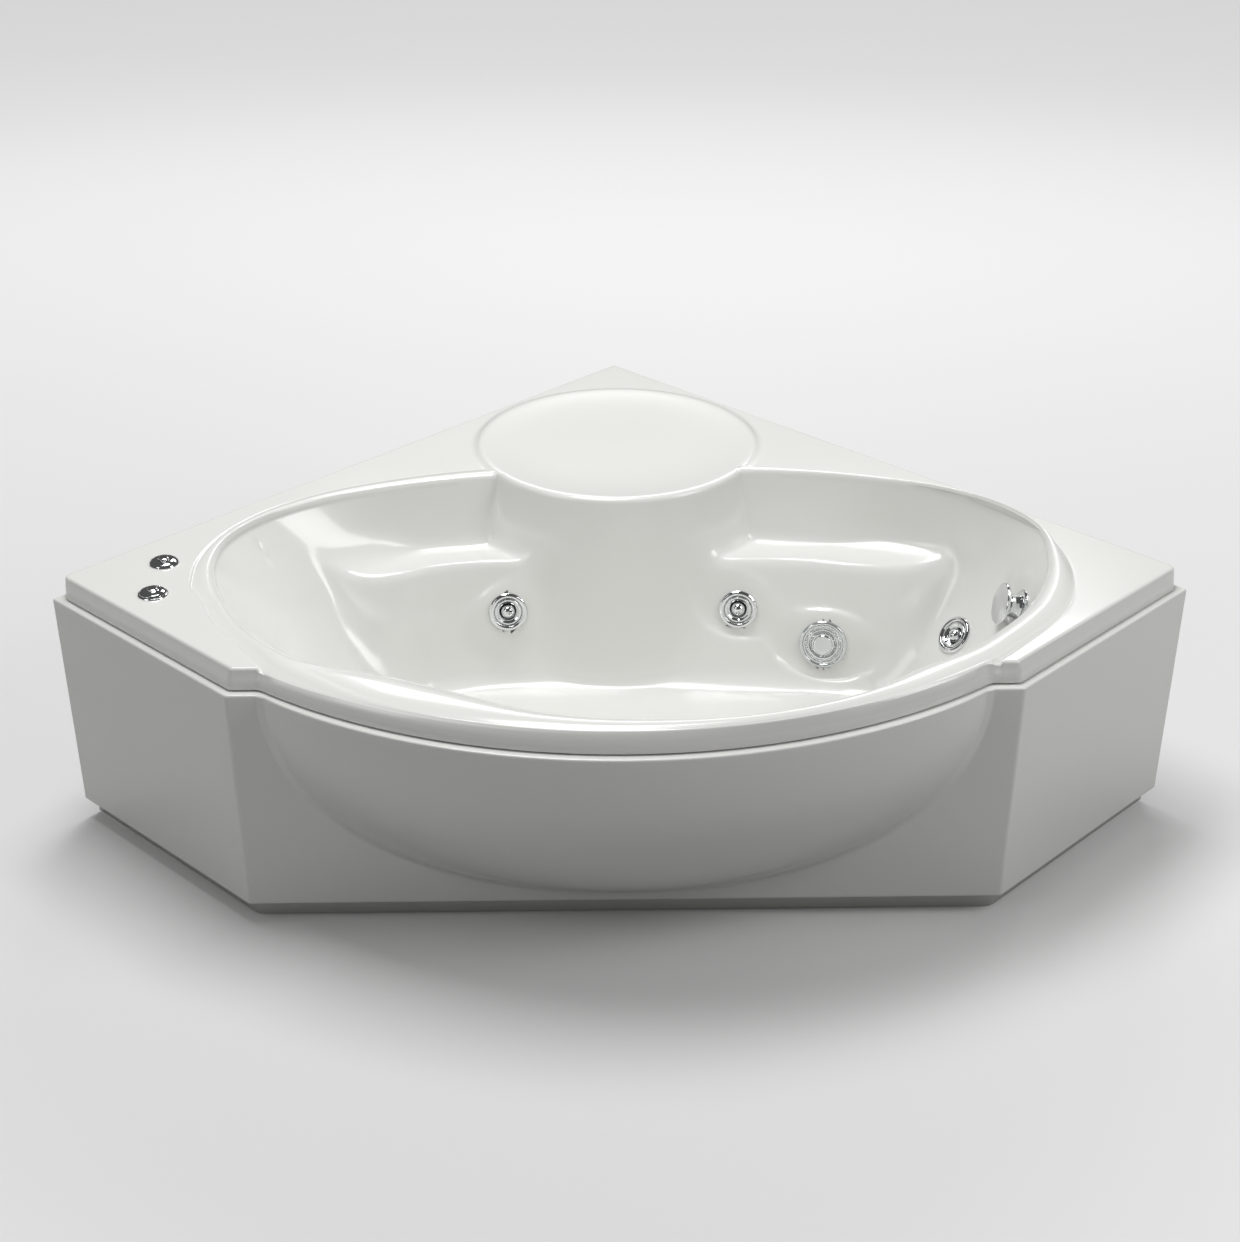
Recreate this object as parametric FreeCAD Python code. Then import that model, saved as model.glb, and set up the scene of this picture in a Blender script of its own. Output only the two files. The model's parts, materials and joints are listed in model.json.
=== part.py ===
"""Corner jetted bathtub with a corner seat, a bowed front and a one-piece skirt.

Millimetres. X runs along the front, Y towards the corner of the room, Z up.
While the pieces are built, the vertical line through the deck's back corner is X = Y = 0
and the floor is Z = 0. Every piece is moved forward by the same amount when it is written,
so that the finished tub stands over the middle of its own footprint.
"""

import FreeCAD, Part
import math
import os

Vector = FreeCAD.Vector
UP = Vector(0, 0, 1)
ORIGIN = Vector(0, 0, 0)
full_turn = 360.0

# Facets: sides of the turned pieces in sight, of the plain hidden ones and of nuts, chords in a bend
fine_sides = 18
plain_sides = 8
hexagon_sides = 6
bend_chords = 3
bulge_inside_sides = 48

# Overall size
wall_side = 1500.0
side_panel_length = 520.0
deck_height = 536.0
overrun = 20.0

# Clearances
seat_clearance = 0.3
moving_clearance = 0.3

# Deck and lip
deck_thickness = 22.0
lip_height = 38.0
lip_flare = 11.0
lip_wall = 6.0
wall_corner_radius = 16.0
bow_radius = 1012.0
bow_centre_depth = 645.0
notch_radius = 34.0

# Rim roll
rim_half_length = 825.0
rim_back_depth = 580.0
rim_front_depth = 1760.0
groove_depth = 14.0
rim_front_drop = 10.0
rim_back_rise = 10.0
rim_side_lean = 9.0
rim_skew = 32.0

# Basin
basin_wall = 8.0
floor_height = 150.0
floor_round_rise = 26.0
floor_round_run = 30.0
armrest_height = 400.0
rim_left = 785.0
rim_right = 785.0
rim_line_back = 608.0
rim_line_front = 1612.0
armrest_left = 705.0
armrest_right = 748.0
armrest_line_back = 640.0
armrest_line_front = 1585.0
foot_left = 520.0
foot_right = 560.0
foot_line_back = 700.0
foot_line_front = 1500.0

# The basin's oval: where its arcs meet, as bearings from the front middle, and the radius
# of the front arc as a share of the oval's width
oval_front_bearing = 20.0
oval_shoulder_bearing = 70.0
oval_back_bearing = 170.0
oval_front_share = 1.005
oval_chords = (4, 8, 14, 3)
panel_allowance = 2.0

# Armrest ledges
ledge_arc_radius = 1860.0
ledge_top_depth = 738.0
ledge_foot_depth = 795.0
ledge_edge_drop = 8.0
ledge_edge_width = 12.0

# Corner seat
seat_centre_depth = 457.0
seat_radius = 300.0
seat_foot_radius = 358.0
seat_rise = 6.0
seat_edge_width = 5.0
seat_band = 26.0
seat_dish = 16.0
seat_slope_width = 90.0

# Skirt
skirt_wall = 5.0
skirt_gap = 3.0
skirt_ledge = 14.0
skirt_top_flange = 42.0
skirt_taper = 10.0
plinth_height = 42.0
plinth_inset = 27.0
plinth_clearance = 3.0
plinth_corner_radius = 30.0
bulge_foot_height = 66.0
bulge_profile_angles = (0.0, 20.0, 40.0, 60.0)

# Wall fittings: a flat spot face in the wall, a backing boss behind it
spot_depth = 2.5
boss_thickness = 6.0
boss_margin = 4.0
fitting_centre_x = 32.0
fitting_centre_depth = 1110.0

# Jets
jet_height = 300.0
jet_bearings = (-38.2, 32.4, 71.3)
jet_flange_radius = 40.5
jet_flange_rise = 7.0
jet_flange_edge = 2.0
jet_crown_width = 6.0
jet_mouth_radius = 28.5
jet_mouth_floor = 1.5
jet_shank_radius = 24.0
jet_shank_bore = 20.5
jet_thread_length = 12.0
jet_sleeve_length = 12.0
jet_ring_rise = 6.0
jet_ring_face = 5.0
jet_ring_bore = 15.0
jet_ball_radius = 14.6
jet_ball_depth = 3.0
jet_ball_front = 11.0
jet_hole_radius = 5.0
jet_hole_offset = 3.0
jet_gasket_thickness = 2.0
jet_collar_radius = 36.0
jet_collar_thickness = 6.0
jet_body_radius = 30.0
jet_body_length = 56.0
jet_port_back = 42.0

# Suction
suction_height = 240.0
suction_bearing = 53.0
suction_radius = 50.0
suction_rim_rise = 7.0
suction_rim_edge = 2.5
suction_grille_radius = 41.0
suction_grille_rise = 4.0
suction_grille_thickness = 3.0
suction_shank_radius = 36.0
suction_shank_bore = 31.0
suction_cap_radius = 20.0
suction_cap_rise = 4.0
suction_screw_radius = 3.0
suction_slot_width = 6.0
suction_slot_web = 3.0
suction_spoke_width = 6.0
suction_spokes = 3
suction_slot_rings = 2
suction_collar_radius = 46.0
suction_collar_thickness = 6.0
suction_body_radius = 42.0
suction_body_length = 44.0

# Overflow
overflow_height = 410.0
overflow_bearing = 80.5
overflow_flange_radius = 36.0
overflow_flange_rise = 6.0
overflow_shank_radius = 20.0
overflow_spindle_radius = 7.0
overflow_neck_radius = 27.0
overflow_waist_radius = 22.0
overflow_face_radius = 42.0
overflow_face_rise = 45.0
overflow_face_thickness = 7.0
overflow_body_radius = 26.0
overflow_body_length = 34.0

# Waste
waste_x = 430.0
waste_depth = 1130.0
waste_flange_radius = 36.0
waste_flange_rise = 3.0
waste_sleeve_radius = 28.0
waste_mouth_radius = 24.0
waste_plug_radius = 27.0
waste_plug_thickness = 5.0
waste_stem_radius = 4.0
waste_stem_length = 40.0
waste_collar_radius = 40.0
waste_collar_thickness = 5.0
waste_body_radius = 32.0
waste_body_foot = 88.0
waste_guide_thickness = 4.0
trap_radius = 46.0
trap_wall = 3.0
trap_foot = 20.0
trap_outlet_height = 50.0

# Deck controls
control_x = -875.0
button_depth = 1012.0
air_control_depth = 1141.0
control_radius = 28.5
control_rise = 9.0
control_edge = 2.5
control_crown_radius = 18.0
button_radius = 10.5
button_rise = 13.0
button_travel = 4.0
button_stem_length = 30.0
control_shank_radius = 16.0
control_nut_radius = 26.0
control_nut_thickness = 8.0
control_body_length = 70.0
air_bezel_rise = 3.0
air_stem_radius = 6.0
air_stem_length = 24.0

# Frame
tube_side = 30.0
tube_wall = 2.5
board_thickness = 12.0
board_left = 400.0
board_right = 530.0
board_back_depth = 880.0
board_front_depth = 1440.0
board_corner_radius = 80.0
front_rail_depth = 1330.0
front_post_x = 720.0
middle_rail_depth = 950.0
middle_post_x = 900.0
back_post_depth = 320.0
long_rail_x = 260.0
foot_pad_radius = 25.0
foot_pad_thickness = 8.0
foot_rod_radius = 6.0
foot_nut_radius = 11.0
foot_nut_thickness = 10.0

# Skirt fixings
bracket_positions = (-594.0, 475.0)
bracket_width = 40.0
bracket_sheet = 3.0
bracket_foot = 18.0
screw_height = 30.0
screw_head_radius = 6.0
screw_head_thickness = 3.0
screw_radius = 2.5
screw_length = 16.0
clip_bearings = (-28.0, 0.0, 28.0)
clip_width = 30.0
clip_sheet = 4.0
clip_grip = 12.0

# Pump
shelf_thickness = 4.0
shelf_front_depth = 530.0
shelf_back_depth = 340.0
pump_depth = 430.0
pump_axis_rise = 80.0
motor_start_x = -170.0
motor_end_x = 80.0
motor_radius = 58.0
motor_end_cap = 30.0
motor_cap_radius = 52.0
motor_foot_width = 120.0
motor_foot_length = 130.0
motor_foot_thickness = 10.0
volute_end_x = 160.0
volute_radius = 76.0
volute_wall = 6.0
pump_inlet_radius = 30.0
pump_inlet_length = 50.0
pump_outlet_radius = 25.0
pump_outlet_rise = 46.0
pump_outlet_reach = 100.0
impeller_radius = 58.0
impeller_disc = 6.0
impeller_vane_height = 24.0
impeller_vane_thickness = 5.0
impeller_vane_start = 16.0
impeller_vanes = 6
impeller_gap = 1.5
shaft_radius = 8.0
shaft_length = 60.0
switch_box_length = 110.0
switch_box_width = 80.0
switch_box_rise = 40.0
switch_box_setback = 60.0

# Pipes
water_pipe_radius = 20.0
water_port_radius = 15.0
manifold_height = 165.0
manifold_tail = 45.0
manifold_turn_reach = 275.0
tee_radius = 21.0
tee_rise = 34.0
water_bend_radius = 45.0
suction_pipe_radius = 25.0
suction_bend_radius = 55.0
air_pipe_radius = 9.0
air_port_radius = 7.0
air_line_rise = 45.0
air_tee_drop = 12.0
air_tee_radius = 10.0
air_pass_x = 780.0
air_pass_depth = 890.0
air_corner_x = 600.0
air_bend_radius = 22.0
overflow_pipe_radius = 15.0
overflow_bend_radius = 35.0
overflow_reach = 42.0
overflow_elbow_reach = 192.0
waste_pipe_radius = 20.0
waste_pipe_end_depth = 470.0
waste_spigot_length = 40.0
waste_stop_radius = 24.0
waste_stop_thickness = 8.0
button_tube_radius = 3.0
button_tube_bend = 25.0
button_line_drop = 27.0
button_pass_x = 720.0
button_pass_depth = 860.0
button_corner_x = 520.0
button_corner_depth = 624.0

# Worked out from the sizes above
half_diagonal = wall_side / math.sqrt(2.0)
front_corner_x = half_diagonal - side_panel_length / math.sqrt(2.0)
front_corner_y = -(half_diagonal + side_panel_length / math.sqrt(2.0))
corner_mitre = math.tan(math.pi / 8.0)
lip_bottom = deck_height - lip_height
deck_underside = deck_height - deck_thickness
skirt_top = lip_bottom - skirt_gap
skirt_offset = lip_flare + skirt_ledge
skirt_bow_radius = bow_radius + skirt_offset
plinth_offset = skirt_offset - skirt_taper - plinth_inset
footprint_depth = bow_centre_depth + skirt_bow_radius
centre_shift = Vector(0, footprint_depth / 2.0, 0)
boss_back = basin_wall - spot_depth + boss_thickness
floor_underside = floor_height - basin_wall
rail_top = floor_underside - board_thickness
rail_bottom = rail_top - tube_side
long_rail_bottom = rail_bottom - tube_side
shelf_top = rail_bottom + shelf_thickness
pump_axis_height = shelf_top + pump_axis_rise
air_pipe_height = jet_height + air_line_rise
button_tube_height = air_pipe_height - button_line_drop


def line(start, end):
    return Part.LineSegment(start, end).toShape()


def arc(start, middle, end):
    return Part.Arc(start, middle, end).toShape()


def mirrored(points):
    return [Vector(-p.x, p.y, p.z) for p in points]


def polygon_face(points):
    return Part.Face(Part.makePolygon(points + points[:1]))


def solid_loft(wires):
    return Part.makeLoft(wires, True, True)


def between(low, high, low_height, high_height, height):
    return low + (high - low) * (height - low_height) / (high_height - low_height)


def arc_middle(centre, start, end, radius):
    towards = (start + end) * 0.5 - centre
    return centre + towards.normalize() * radius


def placed(shape, point, direction):
    """Shape built about the local Z axis, set at the point with that axis along the direction."""
    moved = shape.copy()
    moved.Placement = FreeCAD.Placement(point, FreeCAD.Rotation(UP, direction)).multiply(shape.Placement)
    return moved


def closed_solid(faces):
    """Solid from the flat faces of a closed surface."""
    solid = Part.Solid(Part.Shell(faces))
    if solid.Volume < 0:
        solid.reverse()
    return solid


def on_circle(radius, height, step, sides):
    angle = 2.0 * math.pi * step / sides
    return Vector(radius * math.cos(angle), radius * math.sin(angle), height)


def turned(profile, sides=fine_sides):
    """Many-sided turned solid about Z from (radius, height) corners.

    Each edge of the profile sweeps a ring of flat facets, which keeps small pieces light.
    """
    faces = []
    for (start_r, start_z), (end_r, end_z) in zip(profile, profile[1:] + profile[:1]):
        if start_r == 0 and end_r == 0:
            continue
        for k in range(sides):
            corners = [on_circle(start_r, start_z, k, sides)]
            if start_r:
                corners.append(on_circle(start_r, start_z, k + 1, sides))
            corners.append(on_circle(end_r, end_z, k + 1, sides))
            if end_r:
                corners.append(on_circle(end_r, end_z, k, sides))
            faces.append(polygon_face(corners))
    return closed_solid(faces)


def running_bore(shaft):
    """Bore in which a many-sided shaft turns freely."""
    return (shaft + moving_clearance) / math.cos(math.pi / fine_sides)


def running_shaft(bore):
    """Widest many-sided shaft that turns freely in a bore."""
    return bore * math.cos(math.pi / fine_sides) - moving_clearance


def plain_bore(shank):
    """Bore of a plain hidden piece that clears a finer shank."""
    return (shank + seat_clearance) / math.cos(math.pi / plain_sides)


def round_solid(profile):
    """True solid of revolution about Z from (radius, height) corners, for large pieces."""
    face = polygon_face([Vector(radius, 0, height) for radius, height in profile])
    return face.revolve(ORIGIN, UP, full_turn)


def ring(outer, inner, low, high, sides=fine_sides):
    return turned([(inner, low), (outer, low), (outer, high), (inner, high)], sides)


def cylinder(start, end, radius):
    run = end - start
    return Part.makeCylinder(radius, run.Length, start, run)


def prism(start, end, radius, sides=plain_sides):
    """Straight many-sided rod."""
    return pipe_run([start, end], radius, 0, sides)


def hexagon_nut(outer, rod_radius, low, high):
    nut = turned([(0, low), (outer, low), (outer, high), (0, high)], hexagon_sides)
    return nut.cut(turned([(0, low), (plain_bore(rod_radius), low), (plain_bore(rod_radius), high), (0, high)],
                          plain_sides))


def bent_path(points, bend_radius):
    """Middle line of a pipe: straight runs, with each corner rounded into a few short chords."""
    path = [points[0]]
    for before, corner, after in zip(points, points[1:], points[2:]):
        back = (before - corner).normalize()
        ahead = (after - corner).normalize()
        half = back.getAngle(ahead) / 2.0
        centre = corner + (back + ahead).normalize() * (bend_radius / math.sin(half))
        reach = bend_radius / math.tan(half)
        start = corner + back * reach - centre
        end = corner + ahead * reach - centre
        turn = start.getAngle(end)
        for k in range(bend_chords + 1):
            angle = turn * k / bend_chords
            weights = math.sin(turn - angle) / math.sin(turn), math.sin(angle) / math.sin(turn)
            path.append(centre + start * weights[0] + end * weights[1])
    return path + [points[-1]]


def pipe_run(points, radius, bend_radius, sides=plain_sides):
    """Many-sided pipe along straight runs, with short chords round the bends and mitred joints."""
    path = bent_path(points, bend_radius)
    heading = (path[1] - path[0]).normalize()
    across = heading.cross(Vector(heading.y, heading.z, heading.x + 1.0)).normalize()
    other = heading.cross(across)
    ring_points = [path[0] + across * p.x + other * p.y
                   for p in (on_circle(radius, 0, k, sides) for k in range(sides))]
    faces = [polygon_face(ring_points)]
    for k in range(1, len(path)):
        heading = (path[k] - path[k - 1]).normalize()
        mitre = heading
        if k + 1 < len(path):
            mitre = (heading + (path[k + 1] - path[k]).normalize()).normalize()
        ahead = [p + heading * ((path[k] - p).dot(mitre) / heading.dot(mitre)) for p in ring_points]
        for a in range(sides):
            b = (a + 1) % sides
            faces.append(polygon_face([ring_points[a], ring_points[b], ahead[b], ahead[a]]))
        ring_points = ahead
    faces.append(polygon_face(ring_points))
    return closed_solid(faces)


def panel_points(offset, height):
    """Right wall end and right front corner of the plan, moved outward by the offset."""
    wall_end = half_diagonal + offset / math.sqrt(2.0)
    corner_x = front_corner_x + offset * corner_mitre
    return Vector(wall_end, -wall_end, height), Vector(corner_x, front_corner_y - offset, height)


def bowed_outline(offset, height):
    """Plan outline of the deck: two wall edges, two side edges and the bowed front."""
    wall_end, corner = panel_points(offset, height)
    back = Vector(0, 0, height)
    bow = bow_radius + offset
    bow_centre = Vector(0, -bow_centre_depth, height)
    hollow_y = corner.y - notch_radius
    reach = bow + notch_radius
    hollow_x = math.sqrt(reach ** 2 - (hollow_y - bow_centre.y) ** 2)
    hollow = Vector(hollow_x, hollow_y, height)
    facet_end = Vector(hollow_x, corner.y, height)
    bow_end = bow_centre + (hollow - bow_centre) * (bow / reach)
    hollow_middle = arc_middle(hollow, facet_end, bow_end, notch_radius)
    bow_front = bow_centre - Vector(0, bow, 0)
    right = [wall_end, corner, facet_end, hollow_middle, bow_end]
    left = mirrored(right)
    edges = [
        line(back, right[0]),
        line(right[0], right[1]),
        line(right[1], right[2]),
        arc(right[2], right[3], right[4]),
        arc(right[4], bow_front, left[4]),
        arc(left[4], left[3], left[2]),
        line(left[2], left[1]),
        line(left[1], left[0]),
        line(left[0], back),
    ]
    return Part.Wire(edges)


def straight_outline(offset, height, back_offset=0):
    """Plan outline with a straight front between the two front corners."""
    wall_end, corner = panel_points(offset, height)
    behind = Vector(0, back_offset, 0)
    right = [wall_end + behind, corner]
    left = mirrored(right)
    back = Vector(0, back_offset, height)
    return Part.makePolygon([back, right[0], right[1], left[1], left[0], back])


def oval_radii(half_length, width):
    """Radii of the four arcs of half the oval, front to back, for its half length and its width."""
    bearings = [0.0, math.radians(oval_front_bearing), math.radians(oval_shoulder_bearing),
                math.radians(oval_back_bearing), math.pi]
    sine = [math.sin(b) for b in bearings]
    cosine = [math.cos(b) for b in bearings]
    front = oval_front_share * width
    shoulder_slope = (cosine[1] - cosine[2]) / (sine[2] - sine[1])
    back_slope = (1.0 + cosine[3]) / sine[3]
    left_over = half_length - front * sine[1]
    known = left_over * shoulder_slope + half_length * back_slope + front * (1.0 - cosine[1])
    spread = cosine[2] - cosine[3] - (1.0 - sine[2]) * shoulder_slope - (1.0 - sine[3]) * back_slope
    side = (width - known) / spread
    shoulder = (left_over - side * (1.0 - sine[2])) / (sine[2] - sine[1])
    back = (half_length - side * (1.0 - sine[3])) / sine[3]
    return (front, shoulder, side, back), bearings


def half_oval(half_length, width, start, side):
    """Arcs from the front middle to the back middle, to the right for side 1, to the left for -1."""
    radii, bearings = oval_radii(half_length, width)
    edges = []
    point = start
    for radius, low, high in zip(radii, bearings, bearings[1:]):
        spokes = [Vector(side * radius * math.sin(b), -radius * math.cos(b), 0)
                  for b in (low, (low + high) / 2.0, high)]
        centre = point - spokes[0]
        edges.append(arc(centre + spokes[0], centre + spokes[1], centre + spokes[2]))
        point = centre + spokes[2]
    return edges


def oval_wire(half_left, half_right, back_depth, front_depth, height):
    """Closed smooth oval of the basin, skewed to the right of the deck's middle."""
    start = Vector(rim_skew, -front_depth, height)
    width = front_depth - back_depth
    return Part.Wire(half_oval(half_right, width, start, 1) + half_oval(half_left, width, start, -1)[::-1])


def rim_plane_height(x, y):
    """The rim falls to the front and rises a little to the right."""
    along = (-y - rim_line_back) / (rim_line_front - rim_line_back)
    across = (x - rim_skew) / rim_half_length
    return deck_height + rim_back_rise - (rim_back_rise + rim_front_drop) * along + rim_side_lean * across


def basin_levels(grow, height):
    """Half lengths and depths of the basin's oval at a height, grown outward by the wall."""
    rows = (
        (foot_left, foot_right, foot_line_back, foot_line_front, floor_height),
        (armrest_left, armrest_right, armrest_line_back, armrest_line_front, armrest_height),
        (rim_left, rim_right, rim_line_back, rim_line_front, deck_height),
    )
    low, high = rows[1:] if height > armrest_height else rows[:2]
    left, right, back, front = [between(a, b, low[-1], high[-1], height) for a, b in zip(low[:-1], high[:-1])]
    return left + grow, right + grow, back - grow, front + grow


def basin_body(grow):
    """The basin's oval body from the floor to above the rim, grown outward by the wall.

    The plain body turns into the floor over a sloping band. The grown one is the hidden outside:
    it has a plain foot and is panelled with flats between points on the oval.
    """
    if grow:
        heights = (floor_height - grow, armrest_height, deck_height + overrun)
        return solid_loft([panelled_wire(*basin_levels(grow + panel_allowance, h), h) for h in heights])
    foot = floor_height + floor_round_rise
    wires = [oval_wire(*basin_levels(-floor_round_run, foot), floor_height)]
    for height in (foot, armrest_height, deck_height + overrun):
        wires.append(oval_wire(*basin_levels(0, height), height))
    return solid_loft(wires)


def panelled_wire(half_left, half_right, back_depth, front_depth, height):
    """Closed polygon with its corners on the oval, a few chords to each arc."""
    start = Vector(rim_skew, -front_depth, height)
    halves = []
    for half_length, side in ((half_right, 1), (half_left, -1)):
        edges = half_oval(half_length, front_depth - back_depth, start, side)
        halves.append([p for edge, chords in zip(edges, oval_chords) for p in edge.discretize(chords + 1)[:-1]])
    back = Vector(rim_skew, -back_depth, height)
    points = halves[0] + [back] + halves[1][:0:-1]
    return Part.makePolygon(points + points[:1])


def ledge_block(grow):
    """The armrest ledges: everything behind a shallow curved wall that leans back as it rises.

    A grown block stands back from the plain one by that much, so the two leave a wall between them.
    """
    lean = (ledge_foot_depth - ledge_top_depth) / (armrest_height - floor_height)
    half = half_diagonal
    sag = ledge_arc_radius - math.sqrt(ledge_arc_radius ** 2 - half ** 2)
    rows = [(0.0, -grow), (armrest_height - grow, -grow)]
    if not grow:
        rows = [(0.0, 0.0), (armrest_height - ledge_edge_drop, 0.0), (armrest_height, -ledge_edge_width)]
    wires = []
    for height, shift in rows:
        depth = ledge_top_depth + lean * (armrest_height - height) + shift
        start = Vector(rim_skew / 2.0 - half, -depth - sag, height)
        end = Vector(rim_skew / 2.0 + half, -depth - sag, height)
        middle = Vector(rim_skew / 2.0, -depth, height)
        back_right = Vector(end.x, overrun, height)
        back_left = Vector(start.x, overrun, height)
        wires.append(Part.Wire([arc(start, middle, end), line(end, back_right),
                                line(back_right, back_left), line(back_left, start)]))
    return solid_loft(wires)


def pedestal(grow):
    """The seat's round pedestal, widening towards the floor, with room above it."""
    lean = (seat_foot_radius - seat_radius) / (deck_height - floor_height)
    centre = Vector(0, -seat_centre_depth, 0)
    cone = Part.makeCone(seat_radius + lean * deck_height - grow, seat_radius - grow, deck_height, centre, UP)
    if grow:
        return cone
    return cone.fuse(Part.makeCylinder(seat_radius, overrun * 2.0, centre + UP * deck_height))


def seat_top():
    """Raised round seat: a turned disc with a bevelled edge, a flat band and a shallow dish."""
    top = deck_height + seat_rise
    mouth = seat_radius - seat_band
    disc = round_solid([
        (0, deck_underside),
        (seat_radius, deck_underside),
        (seat_radius, top - seat_edge_width),
        (seat_radius - seat_edge_width, top),
        (mouth, top),
        (mouth - seat_slope_width, top - seat_dish),
        (0, top - seat_dish),
    ])
    return placed(disc, Vector(0, -seat_centre_depth, 0), UP)


def sky_above_rim():
    """Everything above the rim's sloping plane."""
    reach = half_diagonal * 2.0
    corners = [Vector(x, y, rim_plane_height(x, y)) for x, y in
               ((-reach, -reach), (reach, -reach), (reach, overrun), (-reach, overrun))]
    return polygon_face(corners).extrude(UP * deck_height)


def rim_zone(low, high):
    outline = oval_wire(rim_half_length, rim_half_length, rim_back_depth, rim_front_depth, low)
    return Part.Face(outline).extrude(UP * (high - low))


def rounded_lip():
    """Deck plate with its flared lip, solid, with rounded wall ends and a rounded front edge."""
    lip = solid_loft([bowed_outline(lip_flare, lip_bottom), bowed_outline(0, deck_height)])
    ends = [e for e in lip.Edges if abs(e.BoundBox.Center.x) > half_diagonal - overrun
            and e.BoundBox.ZLength > lip_height / 2.0]
    return lip.makeFillet(wall_corner_radius, ends)


def basin_cavity():
    """Room for the bather: the oval bowl less the armrest ledges and the seat's pedestal."""
    return basin_body(0).cut([ledge_block(0), pedestal(0)])


def basin_shell_blank():
    """Outside of the basin below the deck, still solid."""
    outside = basin_body(basin_wall).cut([ledge_block(basin_wall), pedestal(basin_wall)])
    reach = half_diagonal * 2.0
    above = Part.makeBox(reach * 2.0, reach * 2.0, deck_height,
                         Vector(-reach, -reach, deck_underside + boss_margin))
    return outside.cut(above)


def deck_hole_points():
    return [Vector(control_x, -button_depth, 0), Vector(control_x, -air_control_depth, 0)]


def wall_spot(cavity, bearing, height):
    """Centre of a fitting's flat spot in the wall, and the direction out of the wall.

    The bearing is counted from the back, clockwise from above, about the fittings' centre.
    """
    start = Vector(fitting_centre_x, -fitting_centre_depth, height)
    heading = Vector(math.sin(math.radians(bearing)), math.cos(math.radians(bearing)), 0)
    sight = cavity.common(line(start, start + heading * half_diagonal))
    hit = max((v.Point for v in sight.Vertexes), key=lambda p: p.distanceToPoint(start))
    face = min(cavity.Faces, key=lambda f: f.distToShape(Part.Vertex(hit))[0])
    outward = face.normalAt(*face.Surface.parameter(hit))
    return hit + outward * spot_depth, outward * -1.0


def wall_fittings(cavity):
    """Each wall fitting's spot, direction, flange radius and hole radius."""
    rows = [(jet_height, bearing, jet_flange_radius, jet_shank_radius) for bearing in jet_bearings]
    rows.append((suction_height, suction_bearing, suction_radius, suction_shank_radius))
    rows.append((overflow_height, overflow_bearing, overflow_flange_radius, overflow_shank_radius))
    return [wall_spot(cavity, bearing, height) + (flange, shank) for height, bearing, flange, shank in rows]


def tub_shell(cavity, fittings):
    """The one-piece tub: deck, lip, rolled rim, basin, ledges and seat, with its holes."""
    lip = rounded_lip()
    hollow = solid_loft([bowed_outline(lip_flare - lip_wall, lip_bottom - overrun),
                         bowed_outline(-lip_wall, deck_underside)])
    stock = lip.fuse(Part.Face(bowed_outline(0, deck_height)).extrude(UP * overrun * 2.0))
    roll = stock.common(rim_zone(deck_underside, deck_height + overrun * 2.0)).cut(sky_above_rim())
    seat_room = Part.makeCylinder(seat_radius, deck_height + overrun, Vector(0, -seat_centre_depth, 0))
    deck = lip.cut([hollow, rim_zone(deck_height - groove_depth, deck_height + overrun), seat_room])
    bosses = [placed(Part.makeCylinder(flange + boss_margin, boss_back - spot_depth, Vector(0, 0, -boss_back)),
                     spot, direction) for spot, direction, flange, shank in fittings]
    tub = deck.fuse([roll.cut(seat_room), basin_shell_blank(), seat_top()] + bosses).cut(cavity)
    cuts = []
    for spot, direction, flange, shank in fittings:
        cuts.append(placed(Part.makeCylinder(flange + seat_clearance, overrun), spot, direction))
        hole = Part.makeCylinder(shank + seat_clearance, overrun * 2.0, Vector(0, 0, -overrun))
        cuts.append(placed(hole, spot, direction))
    for point in deck_hole_points():
        cuts.append(Part.makeCylinder(control_shank_radius + seat_clearance, deck_height, point + UP * armrest_height))
    waste_hole = Part.makeCylinder(waste_sleeve_radius + seat_clearance, floor_height + overrun, waste_point(0))
    return tub.cut(cuts + [waste_hole])


def waste_point(height):
    return Vector(waste_x, -waste_depth, height)


def skirt_body(offset_in):
    """Skirt's outer form, or its hollow when moved inward: tapered panels, bulge and plinth."""
    top = skirt_top - offset_in
    foot = plinth_height + offset_in
    behind = overrun * 2.0 if offset_in else 0.0
    panels = solid_loft([straight_outline(skirt_offset - skirt_taper - offset_in, foot, behind),
                         straight_outline(skirt_offset - offset_in, top, behind)])
    front_y = front_corner_y - skirt_offset
    drop = skirt_top - bulge_foot_height
    foot_radius = -front_y - bow_centre_depth
    gain = skirt_bow_radius - foot_radius
    round_radius = (gain ** 2 + drop ** 2) / (2.0 * gain)
    centre_radius = skirt_bow_radius - round_radius
    small = round_radius - offset_in
    steps = [math.radians(angle) for angle in bulge_profile_angles]
    rim = [(centre_radius + small * math.cos(a), -small * math.sin(a)) for a in steps]
    if offset_in:
        bulge = turned([(0, 0)] + rim + [(0, rim[-1][1])], bulge_inside_sides)
    else:
        points = [Vector(radius, 0, height) for radius, height in rim]
        foot_middle = Vector(0, 0, points[-1].z)
        profile = Part.Wire([line(ORIGIN, points[0]), arc(points[0], points[1], points[-1]),
                             line(points[-1], foot_middle), line(foot_middle, ORIGIN)])
        bulge = Part.Face(profile).revolve(ORIGIN, UP, full_turn)
    bulge.translate(Vector(0, -bow_centre_depth, skirt_top))
    reach = half_diagonal * 2.0
    room = Part.makeBox(reach * 2.0, reach, top - foot, Vector(-reach, front_y + overrun * 2.0 - reach, foot))
    bulge = bulge.common(room)
    plinth_top = foot + skirt_wall
    plinth = Part.Face(straight_outline(plinth_offset - offset_in, plinth_clearance - offset_in, behind))
    plinth = plinth.extrude(UP * (plinth_top - plinth_clearance + offset_in))
    corners = [e for e in plinth.Edges if e.BoundBox.ZLength > plinth_height / 2.0
               and e.BoundBox.YMax < -half_diagonal - overrun]
    plinth = plinth.makeFillet(plinth_corner_radius - offset_in, corners)
    return panels.fuse([bulge, plinth])


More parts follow.
